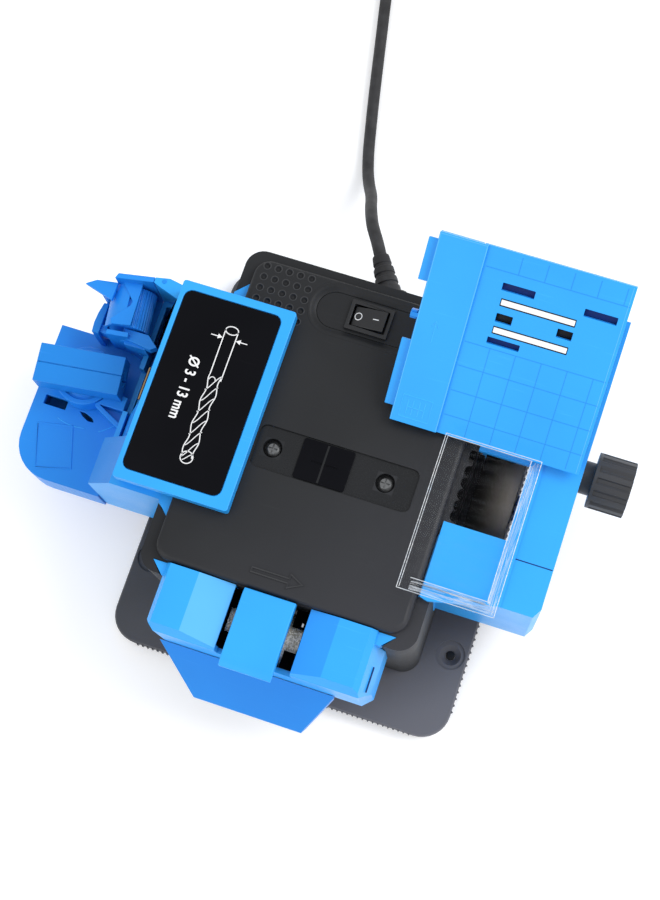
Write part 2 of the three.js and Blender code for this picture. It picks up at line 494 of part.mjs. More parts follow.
// ---- drill module ----
function buildDrillModule() {
  const module = group('drill_module');
  // hood over the wheel: open below and towards the motor
  let body = box(-108, -67.4, -44, 58, 30, 98);
  body = cut(body, box(-105.5, -66, -41.5, 55.5, 29, 95.5));
  body = join(body, ...sideDovetail(-1, GAP, RAIL.bottom, 98.6));
  body = join(body, box(-70, -67, -44, -20.3, 30, 98), box(-70, -67, 36.3, 58, 30, 98));
  body = cut(body, prism('y', [[-110, 99], [-110, 74], [-92, 99]], -46, -20));
  const chamfer = [[-108, 73], [-105.6, 73], [-89.8, 95.5], [-89.8, 98], [-92.7, 98], [-108, 76.8]];
  body = join(body, prism('y', chamfer, -44, -20));
  // open on the drill side below the lid, behind a slanting inner wall with the window for the drill
  body = cut(body, box(-110, -91, -20.1, 60, 63, 99));
  body = join(body, prism('y', [[-106, 52], [-103.8, 52], [-89.8, 97], [-92.2, 97]], -43, 57));
  body = cut(body, box(-110, -92, -2, 21, 56, 84));
  // back corner, bent outwards, with a level ledge on top
  const bend = [[-90.5, 57.9], [-92.9, 60.2], [-101, 61.6], [-108, 60.2], [-108, 57.6]];
  const backWall = [...bend, [-101, 58.9], [-90.5, 55.5]];
  const backLedge = [...bend, [-104.5, 56.2], [-94.6, 53.1], [-90.5, 52.4]];
  body = join(body, prism('z', backWall, 60, 92), prism('z', backLedge, 89.8, 92));
  // standing posts that carry the lid
  body = join(body, box(-88, -69, -41, -37, 97, 103.1), box(-88, -69, 53, 57, 97, 103.1));
  addTo(module, 'drill_body', body, 'blue');

  let lid = prism('z', rounded(LID.x0, LID.x1, LID.y0, LID.y1, 1.2, 2), LID.bottom, LID.top);
  const recess = rounded(LID.x0 + 2.4, LID.x1 - 5.4, LID.y0 + 5, LID.y1 - 4, 4, 4);
  lid = cut(lid, prism('z', recess, LID.top - 0.9, LID.top + 1));
  lid = cut(lid, box(LID.x0 + 2.4, LID.x1 - 2.4, LID.y0 + 2.4, LID.y1 - 2.4, LID.bottom - 1, LID.top - 3));
  addTo(module, 'label_lid', lid, 'blue');
  const labelOutline = rounded(LID.x0 + 2.7, LID.x1 - 5.7, LID.y0 + 5.3, LID.y1 - 4.3, 3.7, 4);
  addTo(module, 'label_plate', prism('z', labelOutline, LID.top - 0.6, LID.top - 0.1), 'label');

  // lower tray with a large rounded front corner
  const outline = [[TRAY.x1 - GAP, TRAY.y0]];
  for (let i = 0; i <= 8; i += 1) {
    const angle = THREE.MathUtils.degToRad(270 - (90 * i) / 8);
    outline.push([TRAY.x0 + TRAY.r + TRAY.r * Math.cos(angle), TRAY.y0 + TRAY.r + TRAY.r * Math.sin(angle)]);
  }
  outline.push([TRAY.x0, TRAY.y1], [TRAY.x1 - GAP, TRAY.y1]);
  outline.reverse();
  let tray = prism('z', outline, TRAY.bottom, TRAY.top);
  // hollow inside, closed underneath; the curved slot and the swivel hole open into it
  const floorZ = TRAY.bottom + 3;
  const roofZ = TRAY.top - 3;
  tray = cut(tray, box(TRAY.x0 + 22, TRAY.x1 - 3, TRAY.y0 + 3, TRAY.y1 - 3, floorZ, roofZ));
  tray = cut(tray, box(TRAY.x0 + 3, TRAY.x0 + 23, TRAY.y0 + 20, TRAY.y1 - 3, floorZ, roofZ));
  const swivel = rod('z', SWIVEL.x, SWIVEL.y, TRAY.top - 5, TRAY.top + 1, 5.3, 24);
  tray = cut(tray, swivel, box(-152, -140, -8, -3, 40, 51));
  const crescent = [[-132.6, -6.3], [-130.3, -8.4], [-126.8, -10], [-124, -9.8], [-125.3, -7.9], [-129.8, -6.2]];
  tray = cut(tray, prism('z', crescent, 40, 51));
  // shallow frame moulded round the setting marks
  const frame = cut(
    prism('z', [[-151.5, -18], [-133, -14.5], [-126, -36], [-144, -41]], 49.5, 50.4),
    prism('z', [[-150.6, -18.6], [-133.4, -15.3], [-126.8, -35.6], [-143.7, -40.1]], 49, 51),
  );
  tray = join(tray, frame);
  addTo(module, 'drill_tray', tray, 'blue');

  // swivel plate and its stub turn in the tray; the two jaws ride on it
  const holder = new THREE.Group();
  holder.name = 'drill_holder';
  holder.position.set(SWIVEL.x, SWIVEL.y, 0);
  module.add(holder);
  const stub = rod('z', 0, 0, TRAY.top - 2.5, TRAY.top + 1, 5, 24);
  let disc = join(rod('z', 0, 0, TRAY.top + GAP, 62, SWIVEL.r, 40), stub);
  disc = cut(disc, cut(rod('z', 0, 0, 61, 63, 12.4, 40), rod('z', 0, 0, 60, 64, 10.6, 40)));
  addTo(holder, 'swivel_plate', disc, 'blue');
  const tilt = THREE.MathUtils.degToRad(SWIVEL.deg);
  const vee = prism('x', [[0, 63.4], [5, 68.4], [0, 73.4], [-5, 68.4]], -30, 30);
  const jawFront = cut(box(-22, 21.5, -10, -0.2, 62.3, 74.5), vee);
  const jawBack = cut(box(-22, 21.5, 0.2, 9.7, 62.3, 74.5), vee);
  addTo(holder, 'jaw_front', jawFront, 'blue').rotation.z = tilt;
  addTo(holder, 'jaw_back', jawBack, 'blue').rotation.z = tilt;

  // arm towards the wheel with a triangular pocket, trimmed round the swivel plate
  const armOutline = [[-108.3, -10.9], [-108.3, 5], [-118.2, 5.6], [-120.3, 2.2], [-123.2, -1.6], [-122.6, -3.8]];
  const pocket = prism('z', [[-107, -9], [-107, -2.2], [-120.8, -2.2]], 57, 63);
  const clearance = rod('z', SWIVEL.x, SWIVEL.y, 50, 62, SWIVEL.r + 0.4, 40);
  addTo(module, 'stop_arm', cut(prism('z', armOutline, 50.3, 61.8), pocket, clearance), 'blue');

  // bracket: two end walls and a half hood over the ribbed thumbwheel, which lies square to the jaws
  const across = (solid) => solid.rotate([0, 0, SWIVEL.deg]).translate([THUMB.x, THUMB.y, 0]);
  const backEnd = [[-127.2, 54.2], [-108.4, 57.5], [-108.4, 60.1], [-126.2, 56.9]];
  let bracket = join(prism('z', backEnd, 60, 92), box(-127.5, -108.4, 31, 57, 60, 62.4));
  bracket = join(bracket, prism('z', [[-124, 28], [-113.2, 29.3], [-113.4, 31.6], [-124.2, 30.3]], 60, 84));
  const hoodOuter = rod('y', 0, THUMB.z, -9.6, 12.4, THUMB.hood, 32);
  const hoodInner = rod('y', 0, THUMB.z, -11, 13.4, THUMB.r + 0.7, 32);
  const leftHalf = cut(hoodOuter, hoodInner).intersect(box(-13, -0.5, -12, 14, 66, 88));
  const right = [[-122.5, 33], [-113.2, 34.8], [-114.4, 57.3]];
  const notched = [[-124.6, 55.6], [-116.2, 46.6], [-116.6, 44.4], [-123.5, 35.6]];
  const coverTop = THUMB.z + THUMB.r + 2.6;
  const cover = prism('z', [...right, ...notched], coverTop - 1.9, coverTop);
  bracket = join(bracket, across(leftHalf), cover);
  bracket = cut(bracket, across(rod('y', 0, THUMB.z, -20, 20, 3 + RUNNING, 20)));
  addTo(module, 'back_bracket', bracket, 'blue');
  let thumb = rod('y', 0, 0, -9, 11.6, THUMB.r, 40);
  for (let i = 0; i < 16; i += 1) {
    thumb = cut(thumb, box(-0.7, 0.7, -14, 14, THUMB.r - 0.8, THUMB.r + 1).rotate([0, i * 22.5, 0]));
  }
  thumb = join(thumb, rod('y', 0, 0, -15, 14.5, 3, 20)).rotate([0, 0, SWIVEL.deg]);
  addTo(module, 'thumbwheel', thumb, 'blue').position.set(THUMB.x, THUMB.y, THUMB.z);

  // low curved guard left of the hood, and the pointer fin on its post
  const guard = [[-131.3, 29.8], [-131.3, 45.8], [-134, 45.8], [-135.1, 40], [-135.4, 35], [-134.9, 29.8]];
  addTo(module, 'curved_guard', prism('z', guard, 50.3, 72), 'blue');
  const fin = [[-141.9, 48.7], [-126.6, 44.4], [-126.5, 53.7], [-137, 52.1]];
  addTo(module, 'pointer', join(prism('z', fin, 84, 86.4), box(-133.6, -131.4, 47, 52.6, 50.3, 84.5)), 'blue');
}

// ---- chisel and plane module ----
const slopeTan = Math.tan(THREE.MathUtils.degToRad(SLOPE_DEG));

function buildChiselModule() {
  const module = group('chisel_module');
  const wallTop = (y) => 99 + (y - 26) * slopeTan;
  const side = [[-44, 33], [-44, DECK.rightTop], [26, DECK.rightTop], [90, wallTop(90)], [90, 33]];
  let body = prism('x', side, 67.4, 116);
  const inside = [[-41.5, 32], [-41.5, 97.4], [25, 97.4], [87.5, 150], [87.5, 32]];
  body = cut(body, prism('x', inside, 60, 113.5));
  body = join(body, ...sideDovetail(1, GAP, RAIL.bottom, 98));
  const deck = [[62, -14], [62, -50.5], [66, -51.5], [98, -44], [98, -14]];
  body = join(body, prism('z', deck, DECK.bottom, DECK.top));
  body = join(body, box(67.25, 69.9, -44, -20.3, 33, 99), box(67.25, 69.9, 36.3, 90, 33, wallTop(36.3)));
  body = join(body, box(67.25, 69.9, 67, 90, 60, wallTop(67)));
  body = join(body, box(91.8, 98, -43, 30, 97.4, DECK.top));
  body = cut(body, box(66.2, 91.8, -14, 22.8, 90, 110));
  body = cut(body, prism('z', [[112, -46], [118, -46], [118, -36]], 30, 104));
  // bores for the two guide bars and the clamp screw
  const bars = [[50, 98], [77, 112.4]];
  for (const [y, z] of bars) {
    body = cut(body, rod('x', y, z, 66, 118, 3 + RUNNING, 20));
  }
  body = cut(body, rod('x', KNOB.y, KNOB.z, 112, 118, 4 + RUNNING, 24));
  addTo(module, 'chisel_body', body, 'blue');
  const barNames = ['guide_bar_front', 'guide_bar_back'];
  bars.forEach(([y, z], i) => {
    addTo(module, barNames[i], rod('x', y, z, 67.2, 115.8, 3, 20), 'steel');
  });

  // sliding carriage, drawn flat and then tilted to the grinding angle
  const flat = new THREE.Group();
  flat.name = 'carriage_group';
  flat.position.set(0, CARRIAGE.y, CARRIAGE.z);
  flat.rotation.x = THREE.MathUtils.degToRad(SLOPE_DEG);
  module.add(flat);
  const plateTop = 0;
  let plate = box(CARRIAGE.x0 - 2, CARRIAGE.x1, 0, CARRIAGE.length, -CARRIAGE.thick, plateTop);
  const magnets = [[58.5, 92.5, 65.5, 68], [58.5, 92.5, 52.5, 55]];
  for (const [x0, x1, v0, v1] of magnets) {
    plate = cut(plate, box(x0 - GAP, x1 + GAP, v0 - GAP, v1 + GAP, -1.6, 1));
  }
  for (const [x0, x1, v0, v1] of [[57, 72, 72, 75.5], [95, 110, 71, 74.5], [57, 72, 47, 50]]) {
    plate = cut(plate, box(x0, x1, v0, v1, -4, 1));
  }
  for (const [x0, x1, v0, v1] of [[58, 65.5, 57.5, 61.5], [86, 93, 58.5, 62.5]]) {
    plate = cut(plate, box(x0, x1, v0, v1, -4, 1));
  }
  // shallow squaring grid
  for (let i = 0; i < 4; i += 1) {
    plate = cut(plate, box(CARRIAGE.x0 + 12.5 + 14 * i, CARRIAGE.x0 + 13 + 14 * i, 4, 45, -0.35, 1));
    plate = cut(plate, box(CARRIAGE.x0 + 4, CARRIAGE.x1 - 3, 12 + 11 * i, 12.5 + 11 * i, -0.35, 1));
  }
  // runners under the plate, bored for the guide bars
  const cosine = Math.cos(THREE.MathUtils.degToRad(SLOPE_DEG));
  const sine = Math.sin(THREE.MathUtils.degToRad(SLOPE_DEG));
  for (const [y, z] of bars) {
    const v = (y - CARRIAGE.y) * cosine + (z - CARRIAGE.z) * sine;
    const w = -(y - CARRIAGE.y) * sine + (z - CARRIAGE.z) * cosine;
    for (const x of [78, 96]) {
      plate = join(plate, box(x, x + 8, v - 5.5, v + 5.5, w - 5.5, -2));
      plate = cut(plate, rod('x', v, w, x - 1, x + 9, 3 + RUNNING, 20));
    }
  }
  addTo(flat, 'carriage_plate', plate, 'blue');
  let fence = box(CARRIAGE.fenceX, CARRIAGE.x0 - 2 - GAP, 0, CARRIAGE.length, -CARRIAGE.thick, 1.6);
  fence = join(fence, box(CARRIAGE.x0 - 3, CARRIAGE.x0, 0, CARRIAGE.length, GAP, 1.6));
  fence = join(fence, box(CARRIAGE.fenceX - 4.5, CARRIAGE.fenceX + 1, 6, 38, -3, -1));
  fence = join(fence, box(CARRIAGE.fenceX - 4.5, CARRIAGE.fenceX + 1, 66, 86, -3, -1));
  addTo(flat, 'fence', fence, 'blue');
  const clipX = CARRIAGE.fenceX - 3.5;
  let clip = box(clipX, CARRIAGE.fenceX - GAP, 47, 53, -3, 3);
  clip = join(clip, box(clipX, CARRIAGE.fenceX + 3, 48, 52, 2, 3.2));
  addTo(flat, 'fence_clip', clip, 'blue');
  const magnetNames = ['magnet_back', 'magnet_front'];
  magnets.forEach(([x0, x1, v0, v1], i) => {
    addTo(flat, magnetNames[i], box(x0, x1, v0, v1, -1.3, 0.2), 'magnet');
  });

  // clear hood over the opening: a lid with a lip on three sides and open at the back
  const hoodLow = 103.6;
  let shield = box(51.5, 97, -52, 22.6, SHIELD_TOP - 2, SHIELD_TOP);
  const walls = cut(
    box(55, 93.6, -46, 22.6, hoodLow, SHIELD_TOP - 1),
    box(56.8, 91.8, -44.2, 24, hoodLow - 1, SHIELD_TOP),
  );
  shield = join(shield, walls, box(91.8, 93.6, -44, 22.6, 101.4, 105));
  addTo(module, 'shield', shield, 'clear');

  // fluted clamp knob with its screw
  let knob = rod('x', 0, 0, KNOB.x0, KNOB.x1, KNOB.r, 48);
  for (let i = 0; i < 14; i += 1) {
    const angle = (i * 2 * Math.PI) / 14;
    const y = (KNOB.r + 0.9) * Math.cos(angle);
    const z = (KNOB.r + 0.9) * Math.sin(angle);
    knob = cut(knob, rod('x', y, z, KNOB.x0 + 1.6, KNOB.x1 + 1, 2.1, 8));
  }
  knob = cut(knob, rod('x', 0, 0, KNOB.x1 - 1, KNOB.x1 + 1, 8, 32));
  knob = join(knob, rod('x', 0, 0, 116.6, KNOB.x0 + 0.5, 8, 32));
  knob = cut(knob, rod('x', 0, 0, 116, 131, 4.3, 24));
  addTo(module, 'clamp_knob', knob, 'dark').position.set(0, KNOB.y, KNOB.z);
  const screw = rod('x', KNOB.y, KNOB.z, 104, 130.5, 4, 24);
  addTo(module, 'clamp_screw', screw, 'steel');
}

// ---- cord, coil and plug ----
const EXIT = new THREE.Vector3(4, 87.4, 60);
const EXIT_DIR = new THREE.Vector3(-0.5, 0.862, -0.08).normalize();
// free run of the lead from the boot down to the table and back towards the coil
const ROUTE = [
  [-21.5, 131, 52], [-25, 138.5, 46.5], [-28, 146, 38.5], [-30.5, 153, 29], [-33.5, 160.5, 19.5],
  [-37.5, 168.5, 11.5], [-41.5, 178, 6], [-45.2, 190, 3.8], [-49, 206, 3.6], [-53, 224, 3.6],
  [-57.6, 246, 3.6], [-62.6, 270, 3.6], [-67.5, 292, 3.6], [-73.3, 304.5, 3.6], [-79.3, 315.3, 3.6],
  [-84.8, 323.1, 3.6],
];
const COIL = { x: -46, y: 350, mid: 37, low: 0.3, high: 19.8 };
const BOOT_START = 5.6;
const BOOT_LENGTH = 26;

function buildCord() {
  const profile = [
    [0, 0], [9, 0], [9, 3], [6.4, 3.4], [6.2, 8], [5.2, 8.2], [5.2, 10], [5.9, 10.2], [5.7, 13.4],
    [4.9, 13.6], [4.9, 15.4], [5.4, 15.6], [5.2, 19], [4.4, 19.2], [4.4, 21], [4.8, 21.2],
    [4.3, BOOT_LENGTH], [0, BOOT_LENGTH],
  ];
  const boot = turned('y', 0, 0, profile, 16);
  const mesh = addTo(machine, 'strain_relief', boot, 'rubber');
  mesh.quaternion.setFromUnitVectors(new THREE.Vector3(0, 1, 0), EXIT_DIR);
  mesh.position.copy(EXIT).addScaledVector(EXIT_DIR, BOOT_START);

  const start = EXIT.clone().addScaledVector(EXIT_DIR, BOOT_START + BOOT_LENGTH + GAP);
  const points = [start, start.clone().addScaledVector(EXIT_DIR, 8)];
  for (const [x, y, z] of ROUTE) {
    points.push(new THREE.Vector3(x, y, z));
  }
  const path = new THREE.CatmullRomCurve3(points, false, 'centripetal');
  const ring = [];
  for (let i = 0; i < 10; i += 1) {
    const angle = (i * 2 * Math.PI) / 10;
    ring.push(new THREE.Vector2((CORD_D / 2) * Math.cos(angle), (CORD_D / 2) * Math.sin(angle)));
  }
  const options = { steps: 26, bevelEnabled: false, extrudePath: path };
  const tube = new THREE.ExtrudeGeometry(new THREE.Shape(ring), options);
  addTo(machine, 'cord', toSolid(tube), 'rubber');

  // the rest of the lead, stored as a neat coil: two turns wide and three high
  const half = CORD_D;
  const r0 = COIL.mid - half;
  const r1 = COIL.mid + half;
  const coilProfile = [[r0, COIL.low + 2], [r0 + 2, COIL.low], [r1 - 2, COIL.low], [r1, COIL.low + 2]];
  coilProfile.push([r1, COIL.high - 2], [r1 - 2, COIL.high], [r0 + 2, COIL.high], [r0, COIL.high - 2]);
  coilProfile.push([r0, COIL.low + 2]);
  addTo(machine, 'cord_coil', turned('z', COIL.x, COIL.y, coilProfile, 36), 'rubber');

  const plug = new THREE.Group();
  plug.name = 'plug';
  plug.position.set(COIL.x + 24.8, COIL.y + COIL.mid + half / 2, 0);
  plug.rotation.z = Math.PI;
  machine.add(plug);
  let shellBody = prism('z', rounded(-58, -22, -17.5, 17.5, 6, 3), 0.3, 14, 2, 2);
  shellBody = join(shellBody, turned('x', 0, 7.1, [[0, -24], [5.6, -24], [4, 0], [0, 0]], 16));
  const pins = [-9.5, 9.5];
  for (const y of pins) {
    shellBody = cut(shellBody, rod('x', y, 7.1, -60, -50, 2.3, 16));
  }
  addTo(plug, 'plug_body', shellBody, 'rubber');
  pins.forEach((y, i) => {
    addTo(plug, `plug_pin_${i + 1}`, rod('x', y, 7.1, -77, -50.3, 2, 12), 'steel');
  });
}

buildBase();
buildHousing();
buildCover();
buildSwitch();
buildDrive();
buildKnifeModule();
buildDrillModule();
buildChiselModule();
buildCord();

export default machine;
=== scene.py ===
import json
import math

import bmesh
import bpy
from mathutils import Matrix, Vector

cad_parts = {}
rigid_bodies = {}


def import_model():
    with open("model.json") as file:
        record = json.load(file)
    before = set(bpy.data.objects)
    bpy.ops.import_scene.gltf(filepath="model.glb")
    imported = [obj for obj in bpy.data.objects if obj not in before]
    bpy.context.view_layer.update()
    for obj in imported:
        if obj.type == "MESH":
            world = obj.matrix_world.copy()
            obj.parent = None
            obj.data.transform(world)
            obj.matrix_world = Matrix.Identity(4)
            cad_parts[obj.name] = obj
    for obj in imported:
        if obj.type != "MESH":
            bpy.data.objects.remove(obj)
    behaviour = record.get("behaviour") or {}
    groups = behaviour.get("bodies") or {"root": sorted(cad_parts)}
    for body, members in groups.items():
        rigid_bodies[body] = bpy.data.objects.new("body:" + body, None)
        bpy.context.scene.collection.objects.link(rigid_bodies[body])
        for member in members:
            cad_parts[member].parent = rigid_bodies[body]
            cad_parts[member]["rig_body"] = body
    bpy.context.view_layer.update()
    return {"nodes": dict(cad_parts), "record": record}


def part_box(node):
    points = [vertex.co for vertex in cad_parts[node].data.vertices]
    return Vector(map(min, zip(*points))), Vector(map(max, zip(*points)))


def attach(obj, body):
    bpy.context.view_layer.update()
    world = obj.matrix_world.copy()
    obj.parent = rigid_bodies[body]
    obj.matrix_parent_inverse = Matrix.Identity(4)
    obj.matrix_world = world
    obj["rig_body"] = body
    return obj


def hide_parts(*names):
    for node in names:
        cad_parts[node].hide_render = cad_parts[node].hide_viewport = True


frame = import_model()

MM = 0.001

# The machine's own origin is the middle of the base plate at table height.
plate_low, plate_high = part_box("base_plate")
ORIGIN = Vector(((plate_low.x + plate_high.x) / 2, (plate_low.y + plate_high.y) / 2, 0.0))


def at(x, y, z):
    """A point given in millimetres from the machine's origin."""
    return ORIGIN + Vector((x, y, z)) * MM


# ---------------------------------------------------------------- camera
AZIMUTH, ELEVATION, ROLL = 32.6, 75.66, -14.52
CAMERA_AT = (100.83, -153.2, 821.1)
LENS, SENSOR = 64, 36


def make_camera():
    azimuth, elevation, roll = (math.radians(v) for v in (AZIMUTH, ELEVATION, ROLL))
    back = Vector((
        math.sin(azimuth) * math.cos(elevation),
        -math.cos(azimuth) * math.cos(elevation),
        math.sin(elevation),
    ))
    right = (-back).cross(Vector((0, 0, 1))).normalized()
    up = right.cross(-back)
    side = right * math.cos(roll) + up * math.sin(roll)
    top = up * math.cos(roll) - right * math.sin(roll)
    data = bpy.data.cameras.new("camera")
    data.lens = LENS
    data.sensor_width = data.sensor_height = SENSOR
    data.sensor_fit = "AUTO"
    data.clip_start, data.clip_end = 0.01, 20
    camera = bpy.data.objects.new("camera", data)
    place = Matrix((side, top, back)).transposed().to_4x4()
    place.translation = at(*CAMERA_AT)
    camera.matrix_world = place
    bpy.context.scene.collection.objects.link(camera)
    bpy.context.scene.camera = camera


make_camera()


# ---------------------------------------------------------------- shader helpers
class Tree:
    """A material's node tree with the few node patterns used here."""

    def __init__(self, name):
        self.mat = bpy.data.materials.new(name)
        self.mat.use_nodes = True
        self.nt = self.mat.node_tree
        self.bsdf = self.nt.nodes["Principled BSDF"]
        self.coord = self.nt.nodes.new("ShaderNodeTexCoord").outputs["Object"]

    def link(self, a, b):
        self.nt.links.new(a, b)

    def set(self, **values):
        for key, value in values.items():
            self.bsdf.inputs[key.replace("_", " ")].default_value = value

    def stretch(self, scale, rotation=(0, 0, 0)):
        node = self.nt.nodes.new("ShaderNodeMapping")
        node.inputs["Scale"].default_value = scale
        node.inputs["Rotation"].default_value = rotation
        self.link(self.coord, node.inputs["Vector"])
        return node.outputs[0]

    def noise(self, scale, detail=3.0, rough=0.55, vector=None, distortion=0.0):
        node = self.nt.nodes.new("ShaderNodeTexNoise")
        node.inputs["Scale"].default_value = scale
        node.inputs["Detail"].default_value = detail
        node.inputs["Roughness"].default_value = rough
        node.inputs["Distortion"].default_value = distortion
        self.link(vector or self.coord, node.inputs["Vector"])
        return node.outputs[0]

    def cells(self, scale, output="Distance"):
        node = self.nt.nodes.new("ShaderNodeTexVoronoi")
        node.inputs["Scale"].default_value = scale
        self.link(self.coord, node.inputs["Vector"])
        return node.outputs[output]

    def range(self, value, low, high, to_low=0.0, to_high=1.0):
        node = self.nt.nodes.new("ShaderNodeMapRange")
        node.inputs["From Min"].default_value = low
        node.inputs["From Max"].default_value = high
        node.inputs["To Min"].default_value = to_low
        node.inputs["To Max"].default_value = to_high
        self.link(value, node.inputs["Value"])
        return node.outputs[0]

    def mix(self, factor, a, b):
        node = self.nt.nodes.new("ShaderNodeMix")
        node.data_type = "RGBA"
        self.link(factor, node.inputs["Factor"])
        for socket, colour in ((node.inputs["A"], a), (node.inputs["B"], b)):
            if isinstance(colour, tuple):
                socket.default_value = (*colour, 1)
            else:
                self.link(colour, socket)
        return node.outputs["Result"]

    def math(self, operation, a, b):
        node = self.nt.nodes.new("ShaderNodeMath")
        node.operation = operation
        for socket, value in zip(node.inputs, (a, b)):
            if isinstance(value, (int, float)):
                socket.default_value = value
            else:
                self.link(value, socket)
        return node.outputs[0]

    def bump(self, height, distance_mm, strength=1.0, over=None):
        node = self.nt.nodes.new("ShaderNodeBump")
        node.inputs["Strength"].default_value = strength
        node.inputs["Distance"].default_value = distance_mm * MM
        self.link(height, node.inputs["Height"])
        if over is not None:
            self.link(over, node.inputs["Normal"])
        return node.outputs[0]

    def along(self, axis):
        node = self.nt.nodes.new("ShaderNodeSeparateXYZ")
        self.link(self.coord, node.inputs[0])
        return node.outputs[axis]

    def alpha(self, socket):
        self.link(socket, self.bsdf.inputs["Alpha"])

    def colour(self, socket):
        self.link(socket, self.bsdf.inputs["Base Color"])

    def roughness(self, socket):
        self.link(socket, self.bsdf.inputs["Roughness"])

    def normal(self, socket):
        self.link(socket, self.bsdf.inputs["Normal"])


def moulded(name, colour, shade, rough, grain, grain_mm, scuff=0.15, spec=0.5, sheen_lift=0.0):
    """Injection-moulded plastic: spark-eroded grain, flow marks, scuffs and fine scratches.

    The last argument lightens it towards the front right with a painted sheen, tinted bluish.
    """
    t = Tree(name)
    t.set(Specular_IOR_Level=spec)
    flow_marks = t.range(t.noise(22, 2, 0.5), 0.35, 0.7)
    base = t.mix(flow_marks, colour, shade)
    # painted sheen: lighter and bluer towards the front right, standing in for reflected light
    if sheen_lift:
        sheen_colour = tuple(c + sheen_lift * tint for c, tint in zip(shade, (1.0, 1.02, 1.3)))
        front = t.range(t.math("SUBTRACT", t.along("X"), t.along("Y")), 0.0, 0.17)
        base = t.mix(front, base, sheen_colour)
    scratch = t.noise(260, 2, 0.6, t.stretch((0.12, 3.0, 1.0), (0, 0, 0.5)))
    scratch = t.range(scratch, 0.66, 0.76, 0, scuff)
    worn = tuple(min(1, c * 1.5 + 0.05) for c in colour)
    t.colour(t.mix(scratch, base, worn))
    patch = t.range(t.noise(45, 4, 0.6), 0.3, 0.75, rough[0], rough[1])
    t.roughness(t.math("ADD", patch, t.range(t.noise(grain, 1), 0.3, 0.7, -0.03, 0.03)))
    waves = t.bump(t.noise(38, 1), 0.05, 0.35)
    t.normal(t.bump(t.noise(grain, 2, 0.6), grain_mm, 0.8, over=waves))
    return t.mat


def make_steel(name, colour, rough):
    t = Tree(name)
    t.set(Metallic=1.0)
    lines = t.noise(420, 3, 0.6, t.stretch((1, 12, 12)))
    dull = tuple(c * 0.72 for c in colour)
    t.colour(t.mix(t.range(lines, 0.35, 0.7), colour, dull))
    t.roughness(t.range(t.noise(160, 3), 0.3, 0.7, rough[0], rough[1]))
    t.normal(t.bump(lines, 0.015, 0.6))
    return t.mat


def make_grit(name, light, dark, scale, metallic, depth_mm, rough):
    t = Tree(name)
    t.set(Metallic=metallic)
    tint = t.cells(scale, "Color")
    split = t.nt.nodes.new("ShaderNodeSeparateColor")
    t.link(tint, split.inputs[0])
    t.colour(t.mix(t.range(split.outputs[0], 0.15, 0.85), dark, light))
    t.roughness(t.range(split.outputs[1], 0, 1, rough[0], rough[1]))
    t.normal(t.bump(t.cells(scale), depth_mm, 0.9))
    return t.mat


def make_rubber(name, colour):
    t = Tree(name)
    t.set(Specular_IOR_Level=0.4)
    light = tuple(c * 1.8 + 0.006 for c in colour)
    t.colour(t.mix(t.range(t.noise(150, 4), 0.4, 0.75), colour, light))
    t.roughness(t.range(t.noise(70, 3), 0.3, 0.7, 0.55, 0.75))
    t.normal(t.bump(t.noise(1500, 2), 0.02, 0.6))
    return t.mat


def make_wheel(name):
    """Fine grey stone, darkened to near black on the side towards the motor by painted shade."""
    t = Tree(name)
    t.set(Specular_IOR_Level=0.02)
    speck = t.range(t.noise(900, 2, 0.6), 0.3, 0.7)
    stone = t.mix(speck, (0.15, 0.134, 0.118), (0.18, 0.162, 0.142))
    low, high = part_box("chisel_wheel")
    # painted shade: near black at the motor end, fading into the stone's grey
    shade_ramp = t.range(t.along("X"), low.x, low.x + (high.x - low.x) * 0.9)
    shade_ramp = t.math("POWER", shade_ramp, 2.6)
    t.colour(t.mix(shade_ramp, (0.0015, 0.0015, 0.0015), stone))
    t.roughness(t.range(t.noise(300, 2), 0.3, 0.7, 0.8, 0.95))
    t.normal(t.bump(t.noise(1500, 2), 0.02, 0.5))
    return t.mat


def make_rotor(name):
    """Copper windings between bare steel shaft ends."""
    t = Tree(name)
    t.set(Metallic=1.0)
    low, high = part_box("rotor_shaft")
    middle = t.math("ABSOLUTE", t.math("SUBTRACT", t.along("X"), (low.x + high.x) / 2), 0)
    ends = t.range(middle, 0.019, 0.0205)
    lines = t.range(t.noise(420, 3, 0.6, t.stretch((12, 1, 1))), 0.35, 0.7)
    copper = t.mix(lines, (0.72, 0.36, 0.2), (0.5, 0.22, 0.12))
    steel = t.mix(lines, (0.3, 0.3, 0.31), (0.2, 0.2, 0.21))
    t.colour(t.mix(ends, copper, steel))
    t.roughness(t.range(t.noise(160, 3), 0.3, 0.7, 0.3, 0.45))
    t.normal(t.bump(lines, 0.015, 0.6))
    return t.mat


def make_clear(name, low, high, white=0.9, streak=(0.3, 3, 1)):
    """Clear moulded plastic, drawn as painted reflections in white streaks; low and high bound how much
    of it shows.
    """
    t = Tree(name)
    t.set(Specular_IOR_Level=0.7)
    cooler = (white * 0.8, white * 0.9, white)
    t.colour(t.mix(t.range(t.noise(120, 2), 0.3, 0.7), (white, white, white), cooler))
    # painted reflections: the streaks' opacity follows this noise
    reflection_streaks = t.noise(210, 3, 0.65, t.stretch(streak, (0, 0, 0.1)), 1.2)
    t.alpha(t.range(reflection_streaks, 0.42, 0.68, low, high))
    t.roughness(t.range(t.noise(90, 2), 0.3, 0.7, 0.04, 0.12))
    t.normal(t.bump(t.noise(60, 1), 0.03, 0.2))
    return t.mat


def make_ink(name, colour):
    t = Tree(name)
    thin = tuple(c * 0.88 for c in colour)
    t.colour(t.mix(t.range(t.noise(500, 3), 0.35, 0.8), colour, thin))
    t.roughness(t.range(t.noise(200, 2), 0.3, 0.7, 0.4, 0.55))
    t.normal(t.bump(t.noise(900, 2), 0.01, 0.5))
    return t.mat


def blue(tint, colour, shade, rough=(0.33, 0.42), spec=0.38, grain_mm=0.012):
    """One tint of the modules' blue plastic; the tints stand in for how the light falls on faces."""
    return moulded("blue_plastic" + tint, colour, shade, rough, 1500, grain_mm, spec=spec)


